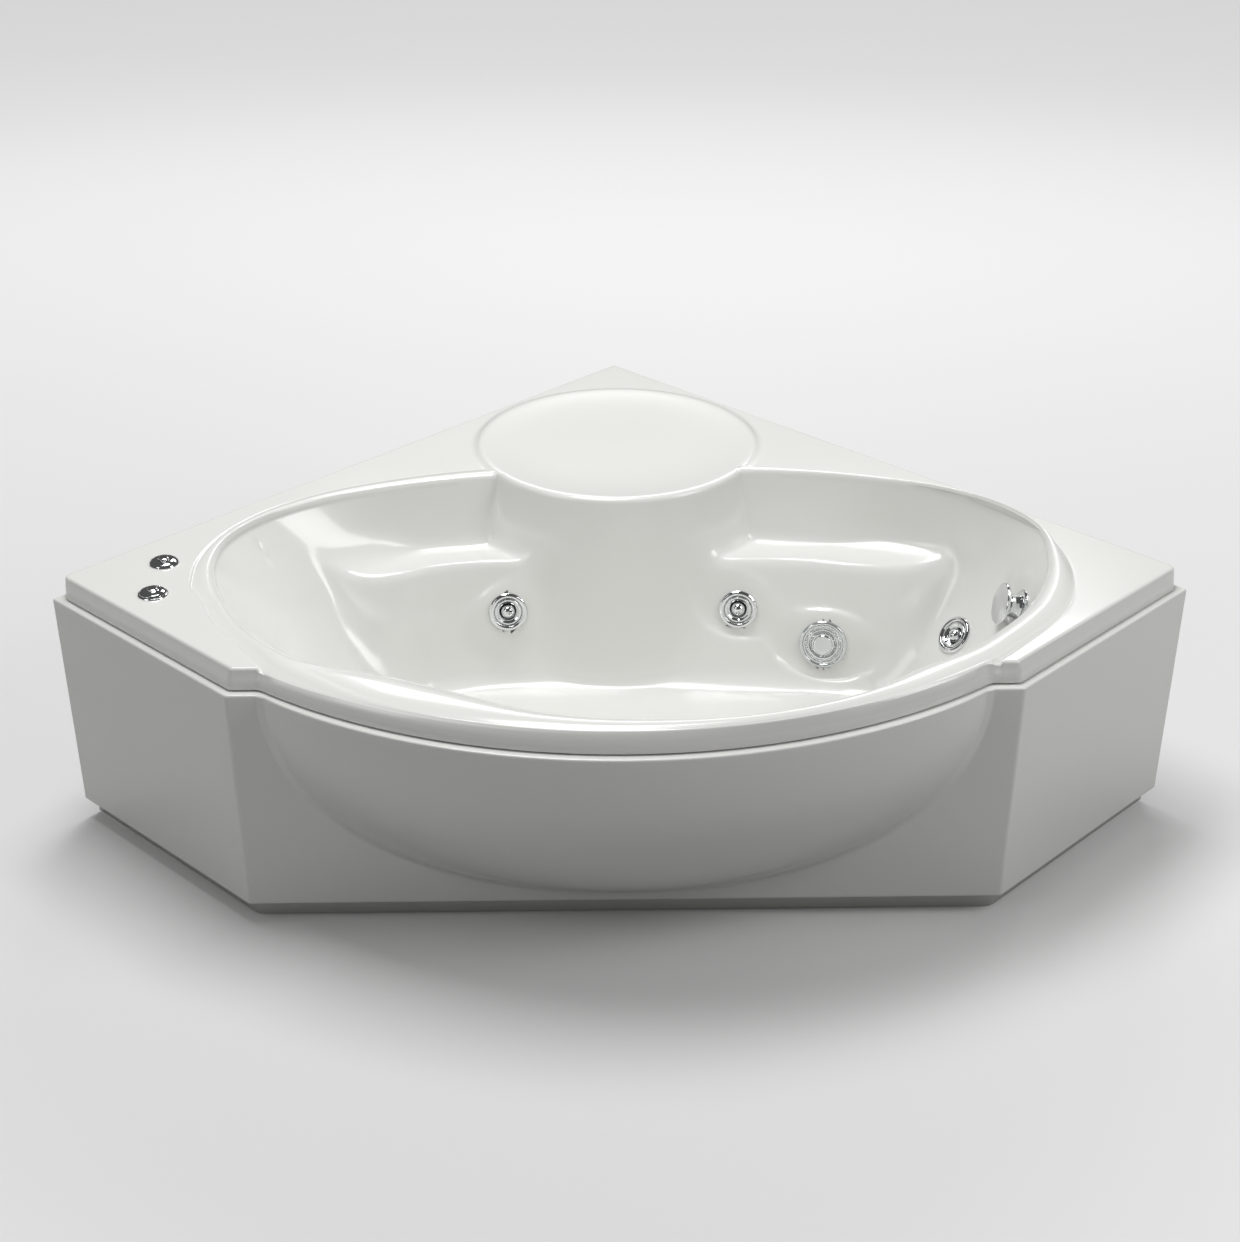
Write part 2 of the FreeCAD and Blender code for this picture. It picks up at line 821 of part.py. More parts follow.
def skirt_panel():
    """One-piece skirt, open to the walls, with a top flange that tucks under the lip."""
    shell = skirt_body(0).cut(skirt_body(skirt_wall))
    mouth = Part.Face(bowed_outline(skirt_offset - skirt_top_flange, skirt_top - overrun))
    shell = shell.cut(mouth.extrude(UP * overrun * 2.0))
    reach = half_diagonal * 2.0
    wall_end = panel_points(skirt_offset, 0)[0]
    behind = polygon_face([Vector(0, 0, -overrun), wall_end - UP * overrun,
                           Vector(wall_end.x, reach, -overrun), Vector(-wall_end.x, reach, -overrun),
                           Vector(-wall_end.x, wall_end.y, -overrun)]).extrude(UP * reach)
    shell = shell.cut(behind)
    holes = []
    for x in bracket_positions:
        holes.append(cylinder(Vector(x, plinth_face_y() - overrun, screw_height),
                              Vector(x, plinth_face_y() + overrun, screw_height), screw_radius + seat_clearance))
    return shell.cut(holes)


def plinth_face_y():
    return front_corner_y - plinth_offset


def skirt_screws():
    screws = []
    for x in bracket_positions:
        face = Vector(x, plinth_face_y(), screw_height)
        screw = turned([(0, screw_head_thickness), (screw_head_radius / 2.0, screw_head_thickness),
                        (screw_head_radius, 0), (screw_radius, 0), (screw_radius, -screw_length),
                        (0, -screw_length)], plain_sides)
        screws.append(placed(screw, face, Vector(0, -1, 0)))
    return Part.makeCompound(screws)


def skirt_brackets():
    """Bent straps from the front rail down to the plinth, where its screws hold."""
    rail_face = -front_rail_depth - tube_side / 2.0
    back = plinth_face_y() + skirt_wall
    sheet = bracket_sheet
    profile = [
        (rail_face, rail_top), (rail_face, rail_bottom), (back + sheet, rail_bottom),
        (back + sheet, bracket_foot), (back, bracket_foot), (back, rail_bottom + sheet),
        (rail_face - sheet, rail_bottom + sheet), (rail_face - sheet, rail_top),
    ]
    brackets = []
    for x in bracket_positions:
        start_x = x - bracket_width / 2.0
        bracket = polygon_face([Vector(start_x, y, z) for y, z in profile])
        bracket = bracket.extrude(Vector(bracket_width, 0, 0))
        hole = cylinder(Vector(x, back - overrun, screw_height), Vector(x, back + overrun, screw_height),
                        screw_radius + seat_clearance)
        brackets.append(bracket.cut(hole))
    return Part.makeCompound(brackets)


def skirt_clips():
    """Hooks under the deck's front that carry the skirt's top flange."""
    inner = skirt_bow_radius - skirt_top_flange
    flange_under = skirt_top - skirt_wall
    profile = [
        (inner - clip_sheet - seat_clearance, deck_underside),
        (inner - clip_sheet - seat_clearance, flange_under - clip_sheet),
        (inner + clip_grip, flange_under - clip_sheet),
        (inner + clip_grip, flange_under),
        (inner - seat_clearance, flange_under),
        (inner - seat_clearance, deck_underside),
    ]
    clips = []
    for bearing in clip_bearings:
        clip = polygon_face([Vector(-clip_width / 2.0, -r, z) for r, z in profile])
        clip = clip.extrude(Vector(clip_width, 0, 0))
        clip.rotate(ORIGIN, UP, bearing)
        clip.translate(Vector(0, -bow_centre_depth, 0))
        clips.append(clip)
    return Part.makeCompound(clips)


def jet_flange():
    """Chrome escutcheon with its threaded shank."""
    shank_end = -boss_back - jet_gasket_thickness - jet_thread_length
    return turned([
        (jet_shank_bore, shank_end), (jet_shank_radius, shank_end), (jet_shank_radius, 0),
        (jet_flange_radius, 0), (jet_flange_radius, jet_flange_edge),
        (jet_mouth_radius + jet_crown_width, jet_flange_rise), (jet_mouth_radius, jet_flange_rise / 2.0),
        (jet_mouth_radius, jet_mouth_floor), (jet_shank_bore, jet_mouth_floor),
    ])


def jet_ring():
    """Turning cup ring: a dished face and a sleeve down the shank."""
    face_radius = running_shaft(jet_mouth_radius)
    sleeve_radius = running_shaft(jet_shank_bore)
    low = jet_mouth_floor + moving_clearance
    return turned([
        (jet_ring_bore, -jet_sleeve_length), (sleeve_radius, -jet_sleeve_length), (sleeve_radius, low),
        (face_radius, low), (face_radius, jet_flange_rise / 2.0), (face_radius - jet_ring_face, jet_ring_rise),
        (jet_ring_bore, 0),
    ])


def jet_ball():
    """Eyeball nozzle with its hole off centre."""
    middle = math.sqrt(jet_ball_radius ** 2 - jet_ball_front ** 2)
    centre = -jet_ball_depth
    ball = turned([(0, centre - jet_ball_front), (middle, centre - jet_ball_front),
                   (jet_ball_radius, centre), (middle, centre + jet_ball_front), (0, centre + jet_ball_front)])
    hole = prism(Vector(jet_hole_offset, 0, centre - jet_ball_radius),
                 Vector(jet_hole_offset, 0, centre + jet_ball_radius), jet_hole_radius)
    return ball.cut(hole)


def jet_gasket():
    return ring(jet_collar_radius, plain_bore(jet_shank_radius), -boss_back - jet_gasket_thickness, -boss_back,
                plain_sides)


def jet_body():
    """Body behind the wall: a collar that clamps the gasket, a bore for the shank, a closed back."""
    front = -boss_back - jet_gasket_thickness
    bore = plain_bore(jet_shank_radius)
    bore_end = front - jet_thread_length - seat_clearance
    return turned([
        (0, front - jet_body_length), (jet_body_radius, front - jet_body_length),
        (jet_body_radius, front - jet_collar_thickness), (jet_collar_radius, front - jet_collar_thickness),
        (jet_collar_radius, front), (bore, front), (bore, bore_end), (0, bore_end),
    ], plain_sides)


def jet_port_centre(spot, direction):
    return spot - direction * (boss_back + jet_gasket_thickness + jet_port_back)


def jet_air_point(spot, direction, height):
    """Place at a height above a jet's body that is as far behind the leaning wall as its ports."""
    centre = jet_port_centre(spot, direction)
    flat = Vector(direction.x, direction.y, 0)
    return centre + (UP - flat * (direction.z / flat.Length ** 2)) * (height - centre.z)


def jet_body_with_ports(spot, direction):
    centre = jet_port_centre(spot, direction)
    body = placed(jet_body(), spot, direction)
    water = prism(Vector(centre.x, centre.y, manifold_height + tee_rise), centre, water_port_radius)
    air = prism(centre, jet_air_point(spot, direction, air_pipe_height - air_tee_drop), air_port_radius)
    return body.fuse([water, air])


def suction_rim():
    shank_end = -boss_back - jet_gasket_thickness - jet_thread_length
    return turned([
        (suction_shank_bore, shank_end), (suction_shank_radius, shank_end), (suction_shank_radius, 0),
        (suction_radius, 0), (suction_radius, suction_rim_edge),
        (suction_grille_radius + suction_rim_edge, suction_rim_rise),
        (suction_grille_radius + seat_clearance, suction_rim_rise - suction_rim_edge),
        (suction_grille_radius + seat_clearance, suction_grille_rise - suction_grille_thickness),
        (suction_shank_bore, suction_grille_rise - suction_grille_thickness),
    ])


def suction_grille():
    """Flat grille: rings of slots that three spokes split."""
    low = suction_grille_rise - suction_grille_thickness
    grille = ring(suction_grille_radius, suction_screw_radius + seat_clearance, low, suction_grille_rise)
    spokes = []
    for k in range(suction_spokes):
        spoke = Part.makeBox(suction_grille_radius, suction_spoke_width, suction_grille_thickness * 2.0,
                             Vector(0, -suction_spoke_width / 2.0, low - suction_grille_thickness / 2.0))
        spoke.rotate(ORIGIN, UP, full_turn * k / suction_spokes)
        spokes.append(spoke)
    inner = suction_cap_radius + suction_slot_web
    for k in range(suction_slot_rings):
        slots = ring(inner + suction_slot_width, inner, low - overrun, suction_grille_rise + overrun)
        grille = grille.cut(slots.cut(spokes))
        inner += suction_slot_width + suction_slot_web
    return grille


def suction_cap():
    screw_end = -suction_cap_radius
    low = suction_grille_rise
    return turned([(0, screw_end), (suction_screw_radius, screw_end), (suction_screw_radius, low),
                   (suction_cap_radius, low), (suction_cap_radius - suction_cap_rise / 2.0, low + suction_cap_rise),
                   (0, low + suction_cap_rise)])


def suction_body():
    front = -boss_back
    bore = plain_bore(suction_shank_radius)
    bore_end = front - jet_gasket_thickness - jet_thread_length - seat_clearance
    return turned([
        (0, front - suction_body_length), (suction_body_radius, front - suction_body_length),
        (suction_body_radius, front - suction_collar_thickness),
        (suction_collar_radius, front - suction_collar_thickness),
        (suction_collar_radius, front), (bore, front), (bore, bore_end), (0, bore_end),
    ], plain_sides)


def overflow_flange():
    shank_end = -boss_back - jet_thread_length
    bore = running_bore(overflow_spindle_radius)
    return turned([
        (bore, shank_end), (overflow_shank_radius, shank_end), (overflow_shank_radius, 0),
        (overflow_flange_radius, 0), (overflow_flange_radius, overflow_flange_rise / 2.0),
        (overflow_neck_radius, overflow_flange_rise), (bore, overflow_flange_rise),
    ])


def overflow_knob():
    """Round face on a waisted neck, turned to lift the plug."""
    low = overflow_flange_rise + moving_clearance
    high = overflow_face_rise
    spindle_end = -boss_back - jet_thread_length + moving_clearance
    return turned([
        (0, spindle_end), (overflow_spindle_radius, spindle_end), (overflow_spindle_radius, low),
        (overflow_neck_radius, low), (overflow_waist_radius, (low + high) / 2.0),
        (overflow_face_radius, high - overflow_face_thickness), (overflow_face_radius, high), (0, high),
    ])


def overflow_body():
    front = -boss_back
    bore = plain_bore(overflow_shank_radius)
    bore_end = front - jet_thread_length - seat_clearance
    return turned([(0, front - overflow_body_length), (overflow_body_radius, front - overflow_body_length),
                   (overflow_body_radius, front), (bore, front), (bore, bore_end), (0, bore_end)],
                  plain_sides)


def waste_flange():
    return turned([
        (waste_mouth_radius, floor_underside), (waste_sleeve_radius, floor_underside),
        (waste_sleeve_radius, floor_height), (waste_flange_radius, floor_height),
        (waste_flange_radius - waste_flange_rise, floor_height + waste_flange_rise),
        (waste_mouth_radius, floor_height + waste_flange_rise),
    ])


def waste_plug():
    low = floor_height + waste_flange_rise + moving_clearance
    stem_end = low - waste_stem_length
    return turned([
        (0, stem_end), (waste_stem_radius, stem_end), (waste_stem_radius, low), (waste_plug_radius, low),
        (waste_plug_radius - waste_plug_thickness / 2.0, low + waste_plug_thickness),
        (0, low + waste_plug_thickness),
    ])


def waste_body():
    """Waste body under the floor: a collar, a cross guide for the plug's stem, an open foot."""
    guide_top = floor_underside - waste_collar_thickness - waste_guide_thickness
    guide_low = guide_top - waste_guide_thickness
    bore = waste_body_radius - waste_guide_thickness
    shell = turned([
        (bore, waste_body_foot), (waste_body_radius, waste_body_foot),
        (waste_body_radius, floor_underside - waste_collar_thickness),
        (waste_collar_radius, floor_underside - waste_collar_thickness),
        (waste_collar_radius, floor_underside), (bore, floor_underside),
    ], plain_sides)
    bar = Part.makeBox(waste_body_radius * 2.0 - waste_guide_thickness, waste_stem_radius * 4.0,
                       waste_guide_thickness, Vector(waste_guide_thickness / 2.0 - waste_body_radius,
                                                     -waste_stem_radius * 2.0, guide_low))
    guide = bar.cut(Part.makeCylinder(waste_stem_radius + moving_clearance, floor_height))
    return shell.fuse(guide)


def waste_trap():
    """Bottle trap with its outlet stub towards the wall."""
    inside = trap_radius - trap_wall
    cup = turned([
        (0, trap_foot), (trap_radius, trap_foot), (trap_radius, waste_body_foot),
        (0, waste_body_foot), (0, waste_body_foot - trap_wall), (inside, waste_body_foot - trap_wall),
        (inside, trap_foot + trap_wall), (0, trap_foot + trap_wall),
    ], plain_sides)
    mouth = Part.makeCylinder(waste_body_radius - waste_guide_thickness, trap_wall * 2.0,
                              Vector(0, 0, waste_body_foot - trap_wall * 2.0))
    return cup.cut(mouth)


def control_nut(point):
    nut = hexagon_nut(control_nut_radius, control_shank_radius,
                      deck_underside - control_nut_thickness, deck_underside)
    nut.translate(point)
    return nut


def button_bezel():
    """Domed bezel with its shank and a bore for the button."""
    base = deck_height
    bore = running_bore(button_radius)
    return turned([
        (bore, base), (control_radius, base), (control_radius, base + control_edge),
        (control_crown_radius, base + control_rise), (bore, base + control_rise),
    ])


def button_body():
    top = deck_height
    bottom = deck_height - control_body_length
    bore = running_bore(button_radius)
    floor = top - button_stem_length - button_travel - moving_clearance
    return turned([
        (0, bottom), (control_shank_radius, bottom), (control_shank_radius, top), (bore, top),
        (bore, floor), (0, floor),
    ])


def push_button():
    low = deck_height - button_stem_length
    high = deck_height + button_rise
    return turned([(0, low), (button_radius, low), (button_radius, high - control_edge),
                   (button_radius - control_edge, high), (0, high)])


def air_bezel():
    base = deck_height
    bore = running_bore(air_stem_radius)
    return turned([(bore, base), (control_radius, base),
                   (control_radius - air_bezel_rise / 2.0, base + air_bezel_rise), (bore, base + air_bezel_rise)])


def air_knob():
    low = deck_height + air_bezel_rise + moving_clearance
    high = deck_height + button_rise
    stem_end = deck_height - air_stem_length
    outer = control_radius - air_bezel_rise
    return turned([
        (0, stem_end), (air_stem_radius, stem_end), (air_stem_radius, low), (outer, low),
        (outer, low + control_edge), (control_crown_radius, deck_height + control_rise),
        (button_radius, deck_height + control_rise), (button_radius - control_edge, high), (0, high),
    ])


def air_body():
    bottom = deck_height - control_body_length
    floor = deck_height - air_stem_length - moving_clearance
    bore = running_bore(air_stem_radius)
    return turned([(0, bottom), (control_shank_radius, bottom), (control_shank_radius, deck_height),
                   (bore, deck_height), (bore, floor), (0, floor)])


def square_tube(start, end):
    """Square steel tube along X, Y or Z between two points on its middle line."""
    run = end - start
    along = Vector(run).normalize()
    across = Vector(along.y, along.z, along.x)
    other = along.cross(across)

    def section(half):
        return polygon_face([start + across * (half * a) + other * (half * b)
                             for a, b in ((-1, -1), (1, -1), (1, 1), (-1, 1))]).extrude(run)
    return section(tube_side / 2.0).cut(section(tube_side / 2.0 - tube_wall))


def floor_board():
    """Board under the basin's floor, with a hole for the waste."""
    width = board_left + board_right
    depth = board_front_depth - board_back_depth
    board = Part.makeBox(width, depth, board_thickness, Vector(-board_left, -board_front_depth, rail_top))
    board = board.makeFillet(board_corner_radius, [e for e in board.Edges if e.BoundBox.ZLength > board_thickness / 2.0])
    hole = Part.makeCylinder(waste_collar_radius + boss_margin, board_thickness, waste_point(rail_top))
    return board.cut(hole)


def foot_places():
    """Each levelling foot's place and the underside that it carries."""
    places = []
    for side in (-1, 1):
        places.append((Vector(side * front_post_x, -front_rail_depth, 0), rail_bottom))
        places.append((Vector(side * middle_post_x, -middle_rail_depth, 0), rail_bottom))
        places.append((Vector(side * long_rail_x, -back_post_depth, 0), long_rail_bottom))
    return places


def feet():
    """Pads, threaded rods and lock nuts of the levelling feet."""
    pads, rods, nuts = [], [], []
    for place, underside in foot_places():
        rounding = foot_pad_thickness / 2.0
        pad = turned([(0, 0), (foot_pad_radius, 0), (foot_pad_radius, rounding),
                      (foot_rod_radius + rounding, foot_pad_thickness), (0, foot_pad_thickness)], plain_sides)
        pads.append(placed(pad, place, UP))
        rods.append(prism(place + UP * foot_pad_thickness, place + UP * underside, foot_rod_radius))
        nut = hexagon_nut(foot_nut_radius, foot_rod_radius,
                          underside - foot_nut_thickness, underside)
        nut.translate(place)
        nuts.append(nut)
    return [Part.makeCompound(group) for group in (pads, rods, nuts)]


def frame_tubes():
    """Two rails across, two along, and six posts up to the deck."""
    half = tube_side / 2.0
    front = Vector(front_post_x + half, -front_rail_depth, rail_top - half)
    middle = Vector(middle_post_x + half, -middle_rail_depth, rail_top - half)
    tubes = {
        "front_rail": square_tube(Vector(-front.x, front.y, front.z), front),
        "middle_rail": square_tube(Vector(-middle.x, middle.y, middle.z), middle),
    }
    for name, side in (("left", -1), ("right", 1)):
        height = rail_bottom - half
        tubes[name + "_long_rail"] = square_tube(Vector(side * long_rail_x, -front_rail_depth - half, height),
                                                 Vector(side * long_rail_x, half - back_post_depth, height))
        tubes["front_" + name + "_post"] = square_tube(Vector(side * front_post_x, -front_rail_depth, rail_top),
                                                       Vector(side * front_post_x, -front_rail_depth, deck_underside))
        tubes["wall_" + name + "_post"] = square_tube(Vector(side * middle_post_x, -middle_rail_depth, rail_top),
                                                      Vector(side * middle_post_x, -middle_rail_depth, deck_underside))
        tubes["back_" + name + "_post"] = square_tube(Vector(side * long_rail_x, -back_post_depth, rail_bottom),
                                                      Vector(side * long_rail_x, -back_post_depth, deck_underside))
    return tubes


def pump_shelf():
    half = tube_side / 2.0
    return Part.makeBox(long_rail_x * 2.0 + tube_side, shelf_front_depth - shelf_back_depth - half, shelf_thickness,
                        Vector(-long_rail_x - half, -shelf_front_depth, rail_bottom))


def along_x(shape, start_x):
    """Shape turned about Z, laid along X at the pump's axis, from the start."""
    return placed(shape, Vector(start_x, -pump_depth, pump_axis_height), Vector(1, 0, 0))


def pump_motor():
    """Motor with a stepped end cap, a foot and a bore for the pump's shaft."""
    length = motor_end_x - motor_start_x
    bore = running_bore(shaft_radius)
    shaft_room = shaft_length - volute_wall + moving_clearance
    motor = along_x(turned([
        (0, 0), (motor_cap_radius, 0), (motor_cap_radius, motor_end_cap), (motor_radius, motor_end_cap),
        (motor_radius, length), (bore, length), (bore, length - shaft_room), (0, length - shaft_room),
    ]), motor_start_x)
    middle = (motor_start_x + motor_end_x) / 2.0
    foot = Part.makeBox(motor_foot_length, motor_foot_width, motor_foot_thickness,
                        Vector(middle - motor_foot_length / 2.0, -pump_depth - motor_foot_width / 2.0, shelf_top))
    web = Part.makeBox(motor_foot_length, motor_foot_width / 2.0, pump_axis_rise - motor_foot_thickness,
                       Vector(middle - motor_foot_length / 2.0, -pump_depth - motor_foot_width / 4.0,
                              shelf_top + motor_foot_thickness))
    core = cylinder(Vector(motor_start_x, -pump_depth, pump_axis_height),
                    Vector(motor_end_x, -pump_depth, pump_axis_height), motor_cap_radius)
    return motor.fuse([foot, web.cut(core)])


def pump_volute():
    """Wet end: a round hollow with an inlet along its axis and an outlet to the front."""
    length = volute_end_x - motor_end_x
    hollow = volute_radius - volute_wall
    bore = running_bore(shaft_radius)
    inlet_bore = pump_inlet_radius - volute_wall
    shell = along_x(turned([
        (bore, 0), (volute_radius, 0), (volute_radius, length), (pump_inlet_radius, length),
        (pump_inlet_radius, length + pump_inlet_length), (inlet_bore, length + pump_inlet_length),
        (inlet_bore, length - volute_wall), (hollow, length - volute_wall), (hollow, volute_wall),
        (bore, volute_wall),
    ]), motor_end_x)
    middle_x = (motor_end_x + volute_end_x) / 2.0
    outlet_height = pump_axis_height + pump_outlet_rise
    start = Vector(middle_x, -pump_depth - pump_outlet_rise, outlet_height)
    end = Vector(middle_x, -pump_depth - pump_outlet_reach, outlet_height)
    room = cylinder(Vector(motor_end_x + volute_wall, -pump_depth, pump_axis_height),
                    Vector(volute_end_x - volute_wall, -pump_depth, pump_axis_height), hollow)
    outlet = prism(start, end, pump_outlet_radius).cut(room)
    return shell.fuse(outlet)


def pump_impeller():
    """Disc with radial vanes on the motor's shaft."""
    gap = impeller_gap
    vanes = []
    for k in range(impeller_vanes):
        vane = Part.makeBox(impeller_radius - impeller_vane_start - gap, impeller_vane_thickness,
                            impeller_vane_height, Vector(impeller_vane_start, -impeller_vane_thickness / 2.0,
                                                         volute_wall + gap + impeller_disc))
        vane.rotate(ORIGIN, UP, full_turn * k / impeller_vanes)
        vanes.append(vane)
    low = volute_wall + gap
    hub = turned([
        (0, -(shaft_length - low - moving_clearance)), (shaft_radius, -(shaft_length - low - moving_clearance)),
        (shaft_radius, low), (impeller_radius, low), (impeller_radius, low + impeller_disc),
        (impeller_vane_start + gap, low + impeller_disc), (impeller_vane_start + gap, low + impeller_vane_height),
        (0, low + impeller_vane_height),
    ])
    return along_x(hub.fuse(vanes).removeSplitter(), motor_end_x)


def switch_box():
    """Air switch and terminal box on top of the motor."""
    low = pump_axis_height + motor_radius - motor_end_cap / 2.0
    box = Part.makeBox(switch_box_length, switch_box_width, switch_box_rise + motor_end_cap / 2.0,
                       Vector(motor_start_x + switch_box_setback, -pump_depth - switch_box_width / 2.0, low))
    core = cylinder(Vector(motor_start_x, -pump_depth, pump_axis_height),
                    Vector(motor_end_x, -pump_depth, pump_axis_height), motor_radius)
    return box.cut(core)


def switch_box_top():
    return Vector(motor_start_x + switch_box_setback + switch_box_length / 2.0, -pump_depth,
                  pump_axis_height + motor_radius + switch_box_rise)


def water_manifold(jets):
    """Water line under the jets: from the pump's outlet to three tees."""
    ports = [jet_port_centre(spot, direction) for spot, direction in jets]
    first, second, third = [Vector(p.x, p.y, manifold_height) for p in ports]
    run = (second - first).normalize()
    turn = second + run * manifold_turn_reach
    last_run = (third - turn).normalize()
    line_pipe = pipe_run([first - run * manifold_tail, turn, third + last_run * manifold_tail],
                         water_pipe_radius, water_bend_radius)
    middle_x = (motor_end_x + volute_end_x) / 2.0
    outlet = Vector(middle_x, -pump_depth - pump_outlet_reach, pump_axis_height + pump_outlet_rise)
    tee = first + run * ((middle_x - first.x) / run.x)
    above = Vector(tee.x, (outlet.y + tee.y) / 2.0, outlet.z)
    feed = pipe_run([outlet, above, tee], water_pipe_radius, water_bend_radius)
    tees = [prism(p, p + UP * tee_rise, tee_radius) for p in (first, second, third)]
    return line_pipe.fuse([feed] + tees).removeSplitter()


def suction_pipe(spot, direction):
    start = spot - direction * (boss_back + suction_body_length)
    inlet = Vector(volute_end_x + pump_inlet_length, -pump_depth, pump_axis_height)
    bend = start - direction * (suction_bend_radius * 2.0)
    ahead = Vector(bend.x, inlet.y, inlet.z)
    return pipe_run([start, bend, ahead, inlet], suction_pipe_radius, suction_bend_radius)


def air_pipe(jets):
    """Air line from the air control behind the basin to the three jets."""
    first, second, third = [jet_air_point(spot, direction, air_pipe_height) for spot, direction in jets]
    control = Vector(control_x, -air_control_depth, deck_height - control_body_length)
    run = (second - first).normalize()
    turn = second + run * manifold_turn_reach
    route = [
        control,
        Vector(control.x, control.y, air_pipe_height),
        Vector(-air_pass_x, -air_pass_depth, air_pipe_height),
        Vector(-air_corner_x, first.y + tube_side, air_pipe_height),
        first - run * manifold_tail,
        turn,
        third,
    ]
    pipe = pipe_run(route, air_pipe_radius, air_bend_radius)
    tees = [prism(jet_air_point(spot, direction, air_pipe_height),
                  jet_air_point(spot, direction, air_pipe_height - air_tee_drop), air_tee_radius)
            for spot, direction in jets]
    return pipe.fuse(tees).removeSplitter()


def button_tube():
    """Thin air tube from the push button to the switch box."""
    start = Vector(control_x, -button_depth, deck_height - control_body_length)
    end = switch_box_top()
    route = [
        start,
        Vector(start.x, start.y, button_tube_height),
        Vector(-button_pass_x, -button_pass_depth, button_tube_height),
        Vector(-button_corner_x, -button_corner_depth, button_tube_height),
        Vector(end.x, end.y, button_tube_height),
        end,
    ]
    return pipe_run(route, button_tube_radius, button_tube_bend)


def overflow_pipe(spot, direction):
    """Overflow from the knob's body, down outside the basin, to the waste body."""
    start = spot - direction * (boss_back + overflow_body_length)
    low = rail_bottom + overflow_pipe_radius / 2.0
    down = start - direction * overflow_reach
    waste = waste_point(low)
    towards = Vector(down.x - waste.x, down.y - waste.y, 0).normalize()
    elbow = waste + towards * overflow_elbow_reach
    route = [
        start,
        down,
        Vector(down.x, down.y, rail_top + tube_side * 2.0),
        Vector(elbow.x, elbow.y, low),
        waste + towards * waste_body_radius,
    ]
    return pipe_run(route, overflow_pipe_radius, overflow_bend_radius)


def waste_pipe():
    """Outlet pipe from the trap, with a stop ring before the spigot that the house's pipe takes."""
    start = waste_point(trap_outlet_height)
    end = Vector(waste_x, -waste_pipe_end_depth, trap_outlet_height)
    stop = end - Vector(0, waste_spigot_length, 0)
    trap = Part.makeCylinder(trap_radius, floor_height, waste_point(0))
    pipe = cylinder(start, end, waste_pipe_radius).cut(trap)
    return pipe.fuse(cylinder(stop - Vector(0, waste_stop_thickness, 0), stop, waste_stop_radius))


def build_nodes():
    """Every piece of the bathtub by name, in the frame of the deck's back corner."""
    cavity = basin_cavity()
    fittings = wall_fittings(cavity)
    spots = [(spot, direction) for spot, direction, flange, shank in fittings]
    jets, suction, overflow = spots[:-2], spots[-2], spots[-1]
    waste = waste_point(0)
    button, air = deck_hole_points()
    pads, rods, nuts = feet()
    nodes = {
        "tub_shell": tub_shell(cavity, fittings),
        "skirt_panel": skirt_panel(),
        "skirt_screws": skirt_screws(),
        "skirt_brackets": skirt_brackets(),
        "skirt_clips": skirt_clips(),
        "jet_flanges": Part.makeCompound([placed(jet_flange(), *spot) for spot in jets]),
        "jet_gaskets": Part.makeCompound([placed(jet_gasket(), *spot) for spot in jets]),
        "suction_rim": placed(suction_rim(), *suction),
        "suction_grille": placed(suction_grille(), *suction),
        "suction_cap": placed(suction_cap(), *suction),
        "suction_body": placed(suction_body(), *suction),
        "overflow_flange": placed(overflow_flange(), *overflow),
        "overflow_knob": placed(overflow_knob(), *overflow),
        "overflow_body": placed(overflow_body(), *overflow),
        "overflow_pipe": overflow_pipe(*overflow),
        "waste_flange": placed(waste_flange(), waste, UP),
        "waste_plug": placed(waste_plug(), waste, UP),
        "waste_body": placed(waste_body(), waste, UP),
        "waste_trap": placed(waste_trap(), waste, UP),
        "waste_pipe": waste_pipe(),
        "button_bezel": placed(button_bezel(), button, UP),
        "push_button": placed(push_button(), button, UP),
        "button_body": placed(button_body(), button, UP),
        "air_bezel": placed(air_bezel(), air, UP),
        "air_knob": placed(air_knob(), air, UP),
        "air_body": placed(air_body(), air, UP),
        "control_nuts": Part.makeCompound([control_nut(point) for point in (button, air)]),
        "floor_board": floor_board(),
        "foot_pads": pads,
        "foot_rods": rods,
        "foot_nuts": nuts,
        "pump_shelf": pump_shelf(),
        "pump_motor": pump_motor(),
        "pump_volute": pump_volute(),
        "pump_impeller": pump_impeller(),
        "switch_box": switch_box(),
        "water_manifold": water_manifold(jets),
        "suction_pipe": suction_pipe(*suction),
        "air_pipe": air_pipe(jets),
        "button_tube": button_tube(),
    }
    nodes.update(frame_tubes())
    for number, spot in enumerate(jets, 1):
        nodes["jet_ring_%d" % number] = placed(jet_ring(), *spot)
        nodes["jet_ball_%d" % number] = placed(jet_ball(), *spot)
        nodes["jet_body_%d" % number] = jet_body_with_ports(*spot)
    return nodes


def main():
    os.makedirs("parts", exist_ok=True)
    for name, shape in build_nodes().items():
        moved = shape.copy()
        moved.translate(centre_shift)
        moved.exportStep("parts/" + name + ".step")


if __name__ == "__main__":
    main()
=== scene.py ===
"""Corner jetted bathtub: its glossy acrylic forms, chrome fittings, materials and studio.

Metres, in the part's own frame. Plan places are given as x and as the depth in front of the
deck's back corner, which is the point where the two walls of the room meet.
"""

import json
import math

import bpy
import numpy as np
from mathutils import Matrix, Vector


